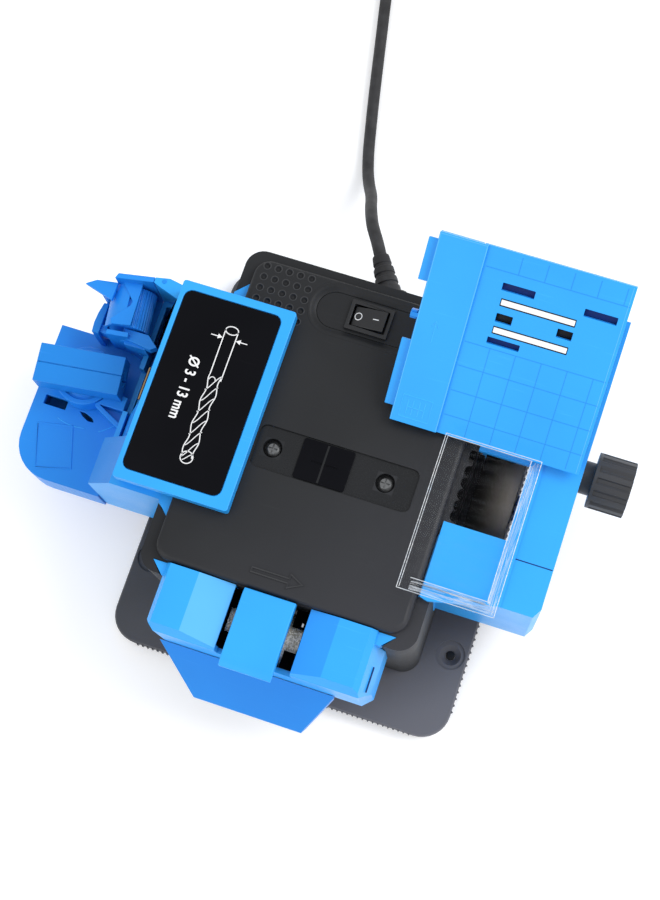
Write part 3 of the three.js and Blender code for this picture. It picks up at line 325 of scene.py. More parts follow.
def black(name, colour, shade, rough, grain=1000, grain_mm=0.03, scuff=0.04, spec=0.45, sheen_lift=0.0):
    """One of the housing's black and dark plastics."""
    return moulded(name, colour, shade, rough, grain, grain_mm, scuff, spec, sheen_lift)


# painted light and shade: the bright and lit tints are painted highlights, the dim, mid and shaded
# tints painted shade; the darkest tint is painted shade and also colours dark seams
BLUE = blue("", (0.024, 0.375, 0.93), (0.02, 0.345, 0.88))
BRIGHT = blue("_bright", (0.04, 0.45, 0.96), (0.034, 0.42, 0.92))
LIT_BLUE = blue("_lit", (0.1, 0.47, 0.96), (0.085, 0.44, 0.92))
DIM_BLUE = blue("_flat", (0.015, 0.29, 0.86), (0.013, 0.265, 0.82))
MID_BLUE = blue("_mid", (0.011, 0.255, 0.8), (0.01, 0.235, 0.76), spec=0.34)
SHADED_BLUE = blue("_shaded", (0.009, 0.225, 0.7), (0.008, 0.2, 0.65), (0.34, 0.44), 0.3)
SHADE_AND_SEAM_BLUE = blue("_shade", (0.004, 0.032, 0.17), (0.003, 0.026, 0.14), (0.4, 0.5), 0.2)
LINE_BLUE = blue("_line", (0.016, 0.275, 0.8), (0.014, 0.255, 0.76), (0.4, 0.5), 0.3, 0.01)
BLACK = black(
    "black_plastic", (0.022, 0.0225, 0.025), (0.028, 0.0285, 0.031), (0.5, 0.62), spec=0.34,
)
# the cover and the base plate below lighten towards the front right with a painted sheen
COVER = black(
    "cover_plastic", (0.0095, 0.0105, 0.0125), (0.013, 0.014, 0.016), (0.46, 0.58),
    scuff=0.05, spec=0.32, sheen_lift=0.021,
)
PLATE = black(
    "base_plastic", (0.05, 0.052, 0.059), (0.066, 0.068, 0.076), (0.5, 0.62), scuff=0.05, sheen_lift=0.05,
)
# painted highlight: lighter plastic for the cover's raised rims and outlines
RIM_HIGHLIGHT = black("rim_highlight_plastic", (0.026, 0.027, 0.03), (0.033, 0.034, 0.037), (0.4, 0.5), grain_mm=0.02)
BEZEL = black(
    "bezel_plastic", (0.012, 0.0125, 0.0145), (0.016, 0.0165, 0.0185), (0.3, 0.4), 1400, 0.012,
)
STRIP = black(
    "channel_film", (0.007, 0.008, 0.0095), (0.01, 0.011, 0.013), (0.22, 0.34), 1400, 0.01, 0.03, 0.3,
)
DARK = black(
    "dark_plastic", (0.0055, 0.0058, 0.007), (0.008, 0.008, 0.0095), (0.34, 0.45), 1400, 0.015,
    spec=0.22,
)
KNOB = black(
    "knob_plastic", (0.03, 0.0305, 0.0335), (0.04, 0.0405, 0.044), (0.38, 0.5), 1200, 0.02, 0.08,
)
VOID = black(
    "shadowed_plastic", (0.0015, 0.0015, 0.002), (0.002, 0.002, 0.0025), (0.6, 0.7), 1400, 0.01,
    0.0, 0.0,
)
LABEL = black(
    "label_film", (0.0028, 0.003, 0.0045), (0.004, 0.0042, 0.006), (0.3, 0.36), 500, 0.006, 0.02, 0.06,
)
WHITE = moulded(
    "magnet_cover", (0.9, 0.91, 0.92), (0.84, 0.85, 0.87), (0.25, 0.35), 800, 0.01, scuff=0.1,
)
RUBBER = make_rubber("black_rubber", (0.018, 0.018, 0.0195))
STEEL = make_steel("steel", (0.62, 0.63, 0.64), (0.22, 0.36))
SCREW = make_steel("screw_steel", (0.2, 0.205, 0.21), (0.3, 0.5))
BRASS = make_steel("brass", (0.45, 0.3, 0.16), (0.35, 0.5))
COPPER = make_rotor("winding_copper")
DIAMOND = make_grit("diamond_grit", (1.0, 0.97, 0.88), (0.5, 0.46, 0.36), 1500, 0.15, 0.1, (0.3, 0.6))
CORUNDUM = make_grit("corundum", (0.3, 0.29, 0.28), (0.16, 0.155, 0.15), 2600, 0.0, 0.04, (0.8, 0.95))
STONE = make_wheel("chisel_stone")
CLEAR = make_clear("clear_plastic", 0.0, 0.01)
CLEAR_EDGE = make_clear("clear_plastic_edge", 0.35, 0.75)
CLEAR_SIDE = make_clear("clear_plastic_side", 0.0, 0.34, 0.95, (5, 0.22, 1))
CLEAR_FRONT = make_clear("clear_plastic_front", 0.0, 0.34, 0.95, (0.22, 5, 1))
INK = make_ink("white_ink", (0.86, 0.87, 0.88))


# ---------------------------------------------------------------- mesh helpers
SLOT_OF = {row["node"]: row["material_slot"] for row in frame["record"]["subparts"]}


def body_of(node):
    return frame["nodes"][node]["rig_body"]


def finish_mesh(obj, bevel=0.0, segments=2, angle=32):
    for face in obj.data.polygons:
        face.use_smooth = True
    if bevel:
        mod = obj.modifiers.new("edges", "BEVEL")
        mod.width = bevel * MM
        mod.segments = segments
        mod.limit_method = "ANGLE"
        mod.angle_limit = math.radians(angle)
        mod.miter_outer = "MITER_ARC"
    mod = obj.modifiers.new("normals", "WEIGHTED_NORMAL")
    mod.keep_sharp = True
    mod.weight = 60
    return obj


def add(name, mesh, material, body, slot, bevel=0.0, segments=2, angle=32):
    obj = bpy.data.objects.new(name, mesh)
    bpy.context.scene.collection.objects.link(obj)
    mesh.materials.clear()
    mesh.materials.append(material)
    finish_mesh(obj, bevel, segments, angle)
    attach(obj, body)
    return obj


def skin(node, material, bevel=0.35, segments=2, merge_flats=True):
    """A finished shell in a CAD node's place: its own shape without seams, with moulded edge radii."""
    bm = bmesh.new()
    bm.from_mesh(frame["nodes"][node].data)
    bmesh.ops.remove_doubles(bm, verts=bm.verts, dist=2e-6)
    if merge_flats:
        bmesh.ops.dissolve_limit(bm, angle_limit=math.radians(0.6), verts=bm.verts, edges=bm.edges)
    for edge in bm.edges:
        edge.smooth = len(edge.link_faces) != 2 or edge.calc_face_angle(0) < math.radians(36)
    mesh = bpy.data.meshes.new(node + "_skin")
    bm.to_mesh(mesh)
    bm.free()
    obj = add(node + "_skin", mesh, material, body_of(node), SLOT_OF[node], bevel, segments)
    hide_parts(node)
    return obj


def mesh_of(name, verts, faces):
    mesh = bpy.data.meshes.new(name)
    mesh.from_pydata([tuple(v) for v in verts], [], faces)
    mesh.update()
    bm = bmesh.new()
    bm.from_mesh(mesh)
    bmesh.ops.recalc_face_normals(bm, faces=bm.faces)
    bm.to_mesh(mesh)
    bm.free()
    return mesh


def ellipse(x, y, rx, ry, sides):
    """Points round an ellipse, anticlockwise from its right end."""
    turns = [2 * math.pi * i / sides for i in range(sides)]
    return [(x + rx * math.cos(a), y + ry * math.sin(a)) for a in turns]


class Solid:
    """Collects closed solids, in millimetres from the machine's origin or as place maps them."""

    def __init__(self, place=None):
        self.verts, self.faces = [], []
        self.place = place or (lambda p: at(*p))

    def prism(self, outline, z0, z1):
        """A prism over an (x, y) outline."""
        n, start = len(outline), len(self.verts)
        for z in (z0, z1):
            self.verts += [self.place((x, y, z)) for x, y in outline]
        self.faces.append([start + i for i in range(n)][::-1])
        self.faces.append([start + n + i for i in range(n)])
        for i in range(n):
            j = (i + 1) % n
            self.faces.append([start + i, start + j, start + n + j, start + n + i])
        return self

    def box(self, x0, x1, y0, y1, z0, z1):
        return self.prism([(x0, y0), (x1, y0), (x1, y1), (x0, y1)], z0, z1)

    def disc(self, x, y, r, z0, z1, sides=32):
        return self.prism(ellipse(x, y, r, r, sides), z0, z1)

    def ribbon(self, points, width, z0, z1, closed=False):
        """A flat stroke of even width along (x, y) points."""
        n = len(points)
        left, right = [], []
        for i, (x, y) in enumerate(points):
            a = points[(i - 1) % n] if (closed or i > 0) else points[i]
            b = points[(i + 1) % n] if (closed or i < n - 1) else points[i]
            dx, dy = b[0] - a[0], b[1] - a[1]
            size = math.hypot(dx, dy) or 1.0
            nx, ny = -dy / size * width / 2, dx / size * width / 2
            left.append((x + nx, y + ny))
            right.append((x - nx, y - ny))
        start, up = len(self.verts), 2 * n
        for z in (z0, z1):
            self.verts += [self.place((x, y, z)) for x, y in left + right]
        for i in range(n if closed else n - 1):
            j = (i + 1) % n
            low_l, low_r, next_l, next_r = start + i, start + n + i, start + j, start + n + j
            self.faces.append([low_l, low_r, next_r, next_l])
            self.faces.append([low_l + up, next_l + up, next_r + up, low_r + up])
            self.faces.append([low_l, next_l, next_l + up, low_l + up])
            self.faces.append([low_r, low_r + up, next_r + up, next_r])
        if not closed:
            for i in (0, n - 1):
                self.faces.append([start + i, start + i + up, start + n + i + up, start + n + i])
        return self

    def piece(self, name, *finish):
        """The piece made of it; finish is material, body, slot and the edge radius, as in add; the slot
        is not used.
        """
        return add(name, mesh_of(name, self.verts, self.faces), *finish)


def stepped_plate(name, place, xs, ys, top_of, bottom):
    """A plate on a rectangular grid; top_of gives a cell's height, or None where it is open."""
    verts, faces, index = [], [], {}

    def corner(x, y, z):
        key = (round(x, 3), round(y, 3), round(z, 3))
        if key not in index:
            index[key] = len(verts)
            verts.append(place((x, y, z)))
        return index[key]

    def height(i, j):
        if 0 <= i < len(xs) - 1 and 0 <= j < len(ys) - 1:
            return top_of((xs[i] + xs[i + 1]) / 2, (ys[j] + ys[j + 1]) / 2)
        return None

    for i in range(len(xs) - 1):
        for j in range(len(ys) - 1):
            top = height(i, j)
            if top is None:
                continue
            x0, x1, y0, y1 = xs[i], xs[i + 1], ys[j], ys[j + 1]
            ring = [(x0, y0), (x1, y0), (x1, y1), (x0, y1)]
            faces.append([corner(x, y, top) for x, y in ring])
            faces.append([corner(x, y, bottom) for x, y in ring][::-1])
            for k, (di, dj) in enumerate(((0, -1), (1, 0), (0, 1), (-1, 0))):
                beside = height(i + di, j + dj)
                low = bottom if beside is None else beside
                if low < top - 1e-6:
                    a, b = ring[k], ring[(k + 1) % 4]
                    faces.append([corner(*a, low), corner(*b, low), corner(*b, top), corner(*a, top)])
    return mesh_of(name, verts, faces)


# ---------------------------------------------------------------- mains lead
CORD_D, CORD_LENGTH = 6.5, 1600
ON_BENCH = 3.6
EXIT = Vector((4, 87.4, 60))
EXIT_DIR = Vector((-0.5, 0.862, -0.08)).normalized()
BOOT_START, BOOT_LENGTH = 5.6, 26
ROUTE = [
    (-21.5, 131, 52), (-25, 138.5, 46.5), (-28, 146, 38.5), (-30.5, 153, 29), (-33.5, 160.5, 19.5),
    (-37.5, 168.5, 11.5), (-41.5, 178, 6), (-45.2, 190, 3.8), (-49, 206, ON_BENCH),
    (-53, 224, ON_BENCH), (-57.6, 246, ON_BENCH), (-62.6, 270, ON_BENCH), (-67.5, 292, ON_BENCH),
    (-73.3, 304.5, ON_BENCH), (-79.3, 315.3, ON_BENCH), (-84.8, 323.1, ON_BENCH),
]
COIL_X, COIL_Y, COIL_MID = -46, 350, 37


def catmull(points, per):
    """Points along a smooth Catmull-Rom curve through the given ones."""
    out = []
    full = [points[0] * 2 - points[1]] + points + [points[-1] * 2 - points[-2]]
    for i in range(1, len(full) - 2):
        p0, p1, p2, p3 = full[i - 1:i + 3]
        for k in range(per):
            t = k / per
            out.append(0.5 * (
                2 * p1 + (p2 - p0) * t + (2 * p0 - 5 * p1 + 4 * p2 - p3) * t * t
                + (3 * p1 - p0 - 3 * p2 + p3) * t ** 3
            ))
    out.append(full[-2])
    return out


def ease(t):
    t = min(1.0, max(0.0, t))
    return t * t * (3 - 2 * t)


def coil_points():
    """Two columns and three rows of turns, wound inwards and back out, clockwise from above."""
    outer, inner = COIL_MID + CORD_D / 2, COIL_MID - CORD_D / 2
    rows = [3.6, 10.1, 16.6]
    stations = [
        (outer, rows[0]), (inner, rows[0]), (inner, rows[1]),
        (inner, rows[2]), (outer, rows[2]), (outer, rows[1]),
    ]
    entry = math.degrees(math.atan2(ROUTE[-1][1] - COIL_Y, ROUTE[-1][0] - COIL_X)) % 360
    # degrees taken by the change from one station to the next, and between points
    shift, step = 26.0, 10.0
    end = entry - 90 + 360 * (len(stations) - 1)
    # the radius at which the lead comes in, and the degrees it takes to join the outer column
    gate, join = 47.05, 40
    out = []
    turned = step
    while turned <= end + 0.01:
        radius, height = stations[0]
        radius += (gate - outer) * (1 - ease(turned / join))
        for i in range(1, len(stations)):
            start = i * 360 - i * shift
            share = ease((turned - start) / shift)
            radius += (stations[i][0] - stations[i - 1][0]) * share
            height += (stations[i][1] - stations[i - 1][1]) * share
        angle = math.radians(entry - turned)
        x, y = COIL_X + radius * math.cos(angle), COIL_Y + radius * math.sin(angle)
        out.append(Vector((x, y, height)))
        turned += step
    return out


def rubber_line(name, points, radius, resolution, cyclic=False):
    """A round line of rubber along one spline, riding on the machine."""
    data = bpy.data.curves.new(name, "CURVE")
    data.dimensions = "3D"
    data.bevel_depth = radius * MM
    data.bevel_resolution = resolution
    spline = data.splines.new("POLY")
    spline.points.add(len(points) - 1)
    for point, p in zip(spline.points, points):
        point.co = (*at(*p), 1)
    spline.use_smooth = True
    spline.use_cyclic_u = cyclic
    obj = bpy.data.objects.new(name, data)
    bpy.context.scene.collection.objects.link(obj)
    data.materials.append(RUBBER)
    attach(obj, "machine")
    return obj


def build_tie():
    """A twist tie round the coil: a rounded rectangle in a plane through the coil's axis."""
    turn = math.radians(150)
    corner = 3
    near, far, low, high = COIL_MID - 7.3, COIL_MID + 7.3, 1.0, 20.6
    loop = []
    for r, z, first in (
        (far - corner, high - corner, 0), (near + corner, high - corner, 90),
        (near + corner, low + corner, 180), (far - corner, low + corner, 270),
    ):
        for k in range(6):
            a = math.radians(first + 18 * k)
            out = r + corner * math.cos(a)
            x, y = COIL_X + out * math.cos(turn), COIL_Y + out * math.sin(turn)
            loop.append((x, y, z + corner * math.sin(a)))
    return rubber_line("coil_tie", loop, 0.7, 2, cyclic=True)


def build_cord():
    start = EXIT + EXIT_DIR * (BOOT_START + BOOT_LENGTH - 3)
    free = [start, start + EXIT_DIR * 11] + [Vector(p) for p in ROUTE]
    tail_y = COIL_Y + COIL_MID + CORD_D / 2
    tail = [Vector((COIL_X + x, tail_y, z)) for x, z in ((12, 8.8), (26, 7.2), (30, 7.1))]
    lead = rubber_line("mains_lead", catmull(free, 5) + coil_points() + tail, CORD_D / 2, 5)
    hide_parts("cord", "cord_coil")
    boot = skin("strain_relief", RUBBER, 0.3)
    plug = skin("plug_body", RUBBER, 0.5)
    pins = [skin("plug_pin_1", STEEL, 0.4), skin("plug_pin_2", STEEL, 0.4)]
    tie = build_tie()


build_cord()


# ---------------------------------------------------------------- machine
COVER_TOP = 103.0


def pill(x0, x1, y0, y1, radius):
    """A rounded rectangle as (x, y) points, anticlockwise from its right side."""
    steps = 12
    points = []
    for cx, cy, first in (
        (x1 - radius, y1 - radius, 0), (x0 + radius, y1 - radius, 90),
        (x0 + radius, y0 + radius, 180), (x1 - radius, y0 + radius, 270),
    ):
        for i in range(steps + 1):
            angle = math.radians(first + 90 * i / steps)
            points.append((cx + radius * math.cos(angle), cy + radius * math.sin(angle)))
    return points


def shoulder_mesh():
    """A closed ring whose upper side rolls softly from the cover down into the switch recess."""
    rings = []
    for inset, height in (
        (-0.9, COVER_TOP), (-0.7, 103.05), (0.4, 102.85), (1.4, 102.2), (2.3, 101.5), (3.2, 101.1),
        (3.6, 101.0),
    ):
        outline = pill(-30 + inset, 29 - inset, 55 + inset, 80 - inset, 12.4 - inset)
        rings.append((outline, height))
    verts, faces = [], []
    n = len(rings[0][0])
    for outline, height in rings:
        verts += [at(x, y, height) for x, y in outline]
    verts += [at(x, y, 100.95) for x, y in rings[0][0]]
    last = len(rings)
    for k in range(last):
        a, b = k, (k + 1) % (last + 1)
        for i in range(n):
            j = (i + 1) % n
            faces.append([a * n + i, a * n + j, b * n + j, b * n + i])
    for i in range(n):
        j = (i + 1) % n
        faces.append([last * n + i, last * n + j, j, i])
    return mesh_of("recess_shoulder", verts, faces)


def build_housing():
    skin("base_plate", PLATE, 0.5, 3)
    for name in ("foot_front_left", "foot_front_right", "foot_back_left", "foot_back_right"):
        skin(name, RUBBER, 0.3)
    skin("housing_shell", BLACK, 0.5, 3)
    skin("top_cover", COVER, 0.2, 2, merge_flats=False)
    skin("top_badge", LABEL, 0.15)
    skin("cover_screw_left", SCREW, 0.0, merge_flats=False)
    skin("cover_screw_right", SCREW, 0.0, merge_flats=False)
    # dark discs at the bottoms of the bolt holes: painted shade
    floors = Solid()
    for x in (-81, 81):
        for y in (-61, 61):
            floors.disc(x, y, 2.3, 4.2, 5.6, 20)
    floors.piece("bolt_hole_floors", DARK, "machine", "dark_plastic")
    # raised rims of the grip dimples, five by five, lighter than the cover as painted highlights
    pitch = 5.6
    rims = Solid()
    for i in range(5):
        for j in range(5):
            ring = ellipse(-55.4 + pitch * i, 78.4 - pitch * j, 1.75, 1.75, 20)
            rims.ribbon(ring, 0.5, COVER_TOP - 0.1, COVER_TOP + 0.12, closed=True)
    rims.piece("grip_rims", RIM_HIGHLIGHT, "machine", "black_plastic", 0.1, 2)
    # glossy floor of the screw channel, left open round the two screws
    film = (101.7, 101.92)
    channel = Solid()
    for x0, x1 in ((-31.9, -28.8), (35.8, 45.1), (-19.2, -11.4), (14.4, 26.2)):
        channel.box(x0, x1, -16.2, 4.2, *film)
    for x0, x1 in ((-28.8, -19.2), (26.2, 35.8)):
        channel.box(x0, x1, -16.2, -10.3, *film).box(x0, x1, -0.7, 4.2, *film)
    channel.piece("channel_floor", STRIP, "machine", "black_plastic")
    line = Solid().box(0.6, 1.5, -15.2, 3.2, 102.6, 102.78)
    line.piece("badge_line", STRIP, "machine", "dark_plastic")
    # raised outline of the arrow, lighter than the cover as a painted highlight
    arrow = [
        (-14.6, -63.6), (3.4, -63.6), (3.4, -65.8), (10.2, -62.5), (3.4, -59.2), (3.4, -61.4),
        (-14.6, -61.4),
    ]
    edge = Solid().ribbon(arrow, 0.55, COVER_TOP + 0.2, COVER_TOP + 0.46, closed=True)
    edge.piece("arrow_edge", RIM_HIGHLIGHT, "machine", "black_plastic", 0.12, 2)
    # soft shoulder round the switch recess
    add("recess_shoulder", shoulder_mesh(), COVER, "machine", "black_plastic")
    # fine grip ribs along the right and front edges of the base plate
    heights = (3.8, 8.3)
    ribs = Solid()
    y = -88.0
    while y < 88:
        ribs.prism([(89.6, y - 0.9), (90.8, y), (89.6, y + 0.9)], *heights)
        y += 3.5
    x = -73.0
    while x < 73:
        ribs.prism([(x - 0.75, -104.6), (x, -105.8), (x + 0.75, -104.6)], *heights)
        x += 2.7
    ribs.piece("base_edge_ribs", PLATE, "machine", "black_plastic")


def build_switch():
    skin("switch_body", BEZEL, 0.3, 3)
    skin("switch_rocker", BEZEL, 0.3, 3)
    # raised lips along the rocker's long sides
    lip = Solid()
    for y in (61.9, 72.9):
        lip.box(-9.2, 8.2, y, y + 0.2, 101.4, 102.9)
    lip.piece("switch_lip", BEZEL, "machine", "dark_plastic")
    cx, cy, cz = -0.5, 67.5, 100.2

    def on_rocker(side):
        """Places (up the face, across, off it) on the rocker's left face or its right one."""
        tilt = math.atan2(2.2, 7.4) if side < 0 else math.atan2(2.0, 7.4)
        start = Vector((-8.0, 0, 1.0)) if side < 0 else Vector((0.6, 0, 3.2))

        def place(p):
            u, v, w = p
            x = start.x + u * math.cos(tilt) - w * math.sin(tilt)
            z = start.z + u * math.sin(tilt) + w * math.cos(tilt)
            return at(cx + x, cy + v, cz + z)
        return place

    stroke, under, over = 0.42, -0.05, 0.06
    ring = ellipse(2.6, 0, 1.75, 1.75, 32)
    off_mark = Solid(on_rocker(-1)).ribbon(ring, stroke, under, over, closed=True)
    off_mark.piece("rocker_mark_off", INK, "rocker", "dark_plastic")
    on_mark = Solid(on_rocker(1)).ribbon([(1.2, 0.2), (4.2, 0.2)], stroke, under, over)
    on_mark.piece("rocker_mark_on", INK, "rocker", "dark_plastic")


def build_drive():
    for name, material in (
        ("motor_can", STEEL), ("bearing_left", STEEL), ("bearing_right", STEEL),
        ("rotor_shaft", COPPER), ("cooling_fan", DARK), ("chisel_wheel", STONE),
        ("drill_wheel", CORUNDUM), ("wheel_nut_left", STEEL), ("wheel_nut_right", STEEL),
        ("motor_pulley", STEEL), ("knife_pulley", STEEL), ("drive_belt", RUBBER),
        ("knife_spindle", STEEL), ("knife_wheel", DIAMOND),
    ):
        skin(name, material, 0.25)


def build_knife_module():
    body = skin("knife_body", BLUE, 0.55, 3)
    # the sloping facets beside the slots catch the light differently from the level tops
    body.data.materials.append(LIT_BLUE)
    body.data.materials.append(DIM_BLUE)
    for face in body.data.polygons:
        if face.normal.z > 0.9 and face.normal.x > 0.06:
            face.material_index = 1
        elif face.normal.z > 0.9 and face.normal.x < -0.06:
            face.material_index = 2
    skin("knife_cap", BLUE, 0.45, 3)
    # the tray's forward slope takes the mid tint: painted shade
    skin("knife_tray", MID_BLUE, 0.35, 3)
    # black guide inserts before and behind the wheel in each slot, and dark liners of painted shade on
    # the slots' flanks
    guides = Solid()
    for x0, x1 in ((-19.3, -14.2), (10.2, 16.8)):
        guides.box(x0, x1, -100, -91.8, 89.6, 90.6)
        guides.box(x0, x1, -80.4, -72, 89.6, 90.6)
    for x0, x1 in ((-19.45, -19.15), (16.65, 16.95)):
        guides.box(x0, x1, -99.8, -72, 90.7, 97.4)
    guides.piece("knife_guides", VOID, "knife_module", "dark_plastic")
    # spring leaves beside the wheel
    leaves = Solid().box(-16.6, -15.6, -95.0, -93.0, 90.7, 92)
    leaves.box(14.2, 15.4, -79.4, -77.6, 90.7, 92)
    leaves.piece("knife_guide_leaves", STEEL, "knife_module", "steel", 0.2, 2)
    # a seam on the right flank
    seam = Solid().box(51.3, 52.15, -98.5, -86.5, 91.4, 92.0)
    seam.piece("knife_flank_seam", SHADE_AND_SEAM_BLUE, "knife_module", "blue_plastic")


def text_mesh(name, words, size, place, heavy):
    """Flat lettering, heavier by an offset of its outlines, as a closed mesh.

    place maps (along, across, up) in millimetres to the row frame.
    """
    data = bpy.data.curves.new(name, "FONT")
    data.body = words
    data.size = size
    data.offset = heavy
    data.extrude = 0.05
    data.align_x, data.align_y = "CENTER", "CENTER"
    obj = bpy.data.objects.new(name, data)
    bpy.context.scene.collection.objects.link(obj)
    bpy.context.view_layer.update()
    depsgraph = bpy.context.evaluated_depsgraph_get()
    mesh = bpy.data.meshes.new_from_object(obj.evaluated_get(depsgraph))
    bpy.data.objects.remove(obj)
    for v in mesh.vertices:
        v.co = place((v.co.x, v.co.y, v.co.z))
    return mesh


def build_label():
    """The label's plate and its drawing of a drill bit seen from the side, tip towards the front."""
    skin("label_lid", BLUE, 0.45, 3)
    skin("label_plate", LABEL, 0.1, 1)
    low, high = 109.85, 109.98
    heavy, light = 0.5, 0.42
    cx = -59.2
    top, neck, tip = 40.6, 15.6, -23.4
    flute_pitch, flute_turn = 11.8, 0.6 * math.pi
    ink = Solid()
    # shank: an ellipse at its end and two sides
    ink.ribbon(ellipse(cx, top, 3.1, 2.0, 28), heavy, low, high, True)
    ink.ribbon([(cx - 3.1, top), (cx - 3.0, neck + 2)], heavy, low, high)
    ink.ribbon([(cx + 3.1, top), (cx + 3.0, neck)], heavy, low, high)

    def flank(side, phase):
        points = []
        for i in range(49):
            y = neck + 2 - (neck + 2 - tip) * i / 48
            wave = 0.5 * math.cos((neck - y) / flute_pitch * 2 * math.pi + phase)
            points.append((cx + side * (2.7 + wave), y))
        return points

    ink.ribbon(flank(-1, 0.4), heavy, low, high)
    ink.ribbon(flank(1, 0.4 + flute_turn), heavy, low, high)
    for k in range(7):
        y0 = neck - 3.4 - 5.6 * k
        curve = []
        for i in range(13):
            s = i / 12
            rise = 0.5 - 0.5 * math.cos(math.pi * (0.1 + 0.8 * s))
            curve.append((cx - 2.9 + 5.8 * s, y0 - 2.6 + 8.6 * rise))
        ink.ribbon(curve, light, low, high)
    # the point: a circle and the chisel edge across it
    ink.ribbon(ellipse(cx, tip, 3.0, 2.9, 28), heavy, low, high, True)
    edge = []
    for i in range(9):
        s = i / 8 - 0.5
        edge.append((cx + 3.6 * s, tip + 1.8 * math.sin(2.4 * s)))
    ink.ribbon(edge, light, low, high)
    # the curl where the flute runs out into the shank
    curl = []
    for i in range(11):
        a = i * math.pi / 10
        curl.append((cx - 2.6 + 1.5 * (1 - math.cos(a)), neck - 0.5 + 1.6 * math.sin(a)))
    ink.ribbon(curl, light, low, high)
    # dimension arrows either side of the shank
    y = 36.3
    for side in (-1, 1):
        tail, head, point = cx + side * 9.0, cx + side * 5.6, cx + side * 3.3
        ink.ribbon([(tail, y), (head, y)], 0.45, low, high)
        ink.prism([(head, y - 1.2), (point, y), (head, y + 1.2)][::side], low, high)
    ink.piece("label_drawing", INK, "drill_module", "label_black")

    def place(p):
        along, across, up = p
        return at(-71.6 + across, 7.8 - along * 0.82, 109.9 + up)

    words = text_mesh("label_range", "O 3 - 13 mm", 7.2, place, 0.15)
    add("label_range", words, INK, "drill_module", "label_black")
    # a slash through the O makes it a diameter sign
    left, right = (pick(v.co.x for v in words.vertices) / MM - ORIGIN.x / MM for pick in (min, max))
    first = max(v.co.y for v in words.vertices) / MM - ORIGIN.y / MM
    stroke = [(left - 0.1, first + 0.2), (right + 0.1, first - 4.6)]
    slash = Solid().ribbon(stroke, 0.75, 109.86, 109.97)
    slash.piece("label_slash", INK, "drill_module", "label_black")


# The drill holder's pivot on the tray, how far it stands turned, and the roller's centre.
PIVOT = (-133, 9.5)
HOLDER_TURN = math.radians(7)
ROLLER_AT = (-117.5, 43.5, 74)


def turned(x, y, centre):
    """The (x, y) of a point given from a centre in the jaws' own directions."""
    cosine, sine = math.cos(HOLDER_TURN), math.sin(HOLDER_TURN)
    return centre[0] + x * cosine - y * sine, centre[1] + x * sine + y * cosine


def upright(p):
    """Takes a prism's outline as (x, z) and its extent as y."""
    return at(p[0], p[2], p[1])


def build_thumbwheel():
    """A finely ribbed roller on a plain spindle, square to the jaws."""
    def place(p):
        across, up, along = p
        return at(*turned(across, along, ROLLER_AT), ROLLER_AT[2] + up)

    ribs = 38
    root, crest = 9.3, 9.95
    outline = []
    for i in range(ribs * 4):
        angle = 2 * math.pi * i / (ribs * 4)
        radius = (root, crest, crest, root)[i % 4]
        outline.append((radius * math.cos(angle), radius * math.sin(angle)))
    roller = Solid(place).prism(outline, -9, 11.6).disc(0, 0, 3, -14.9, 14.4, 24)
    # the roller takes the dim tint: painted shade
    obj = roller.piece("thumbwheel_skin", DIM_BLUE, "thumbwheel", "blue_plastic", 0.1, 2, 25)
    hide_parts("thumbwheel")


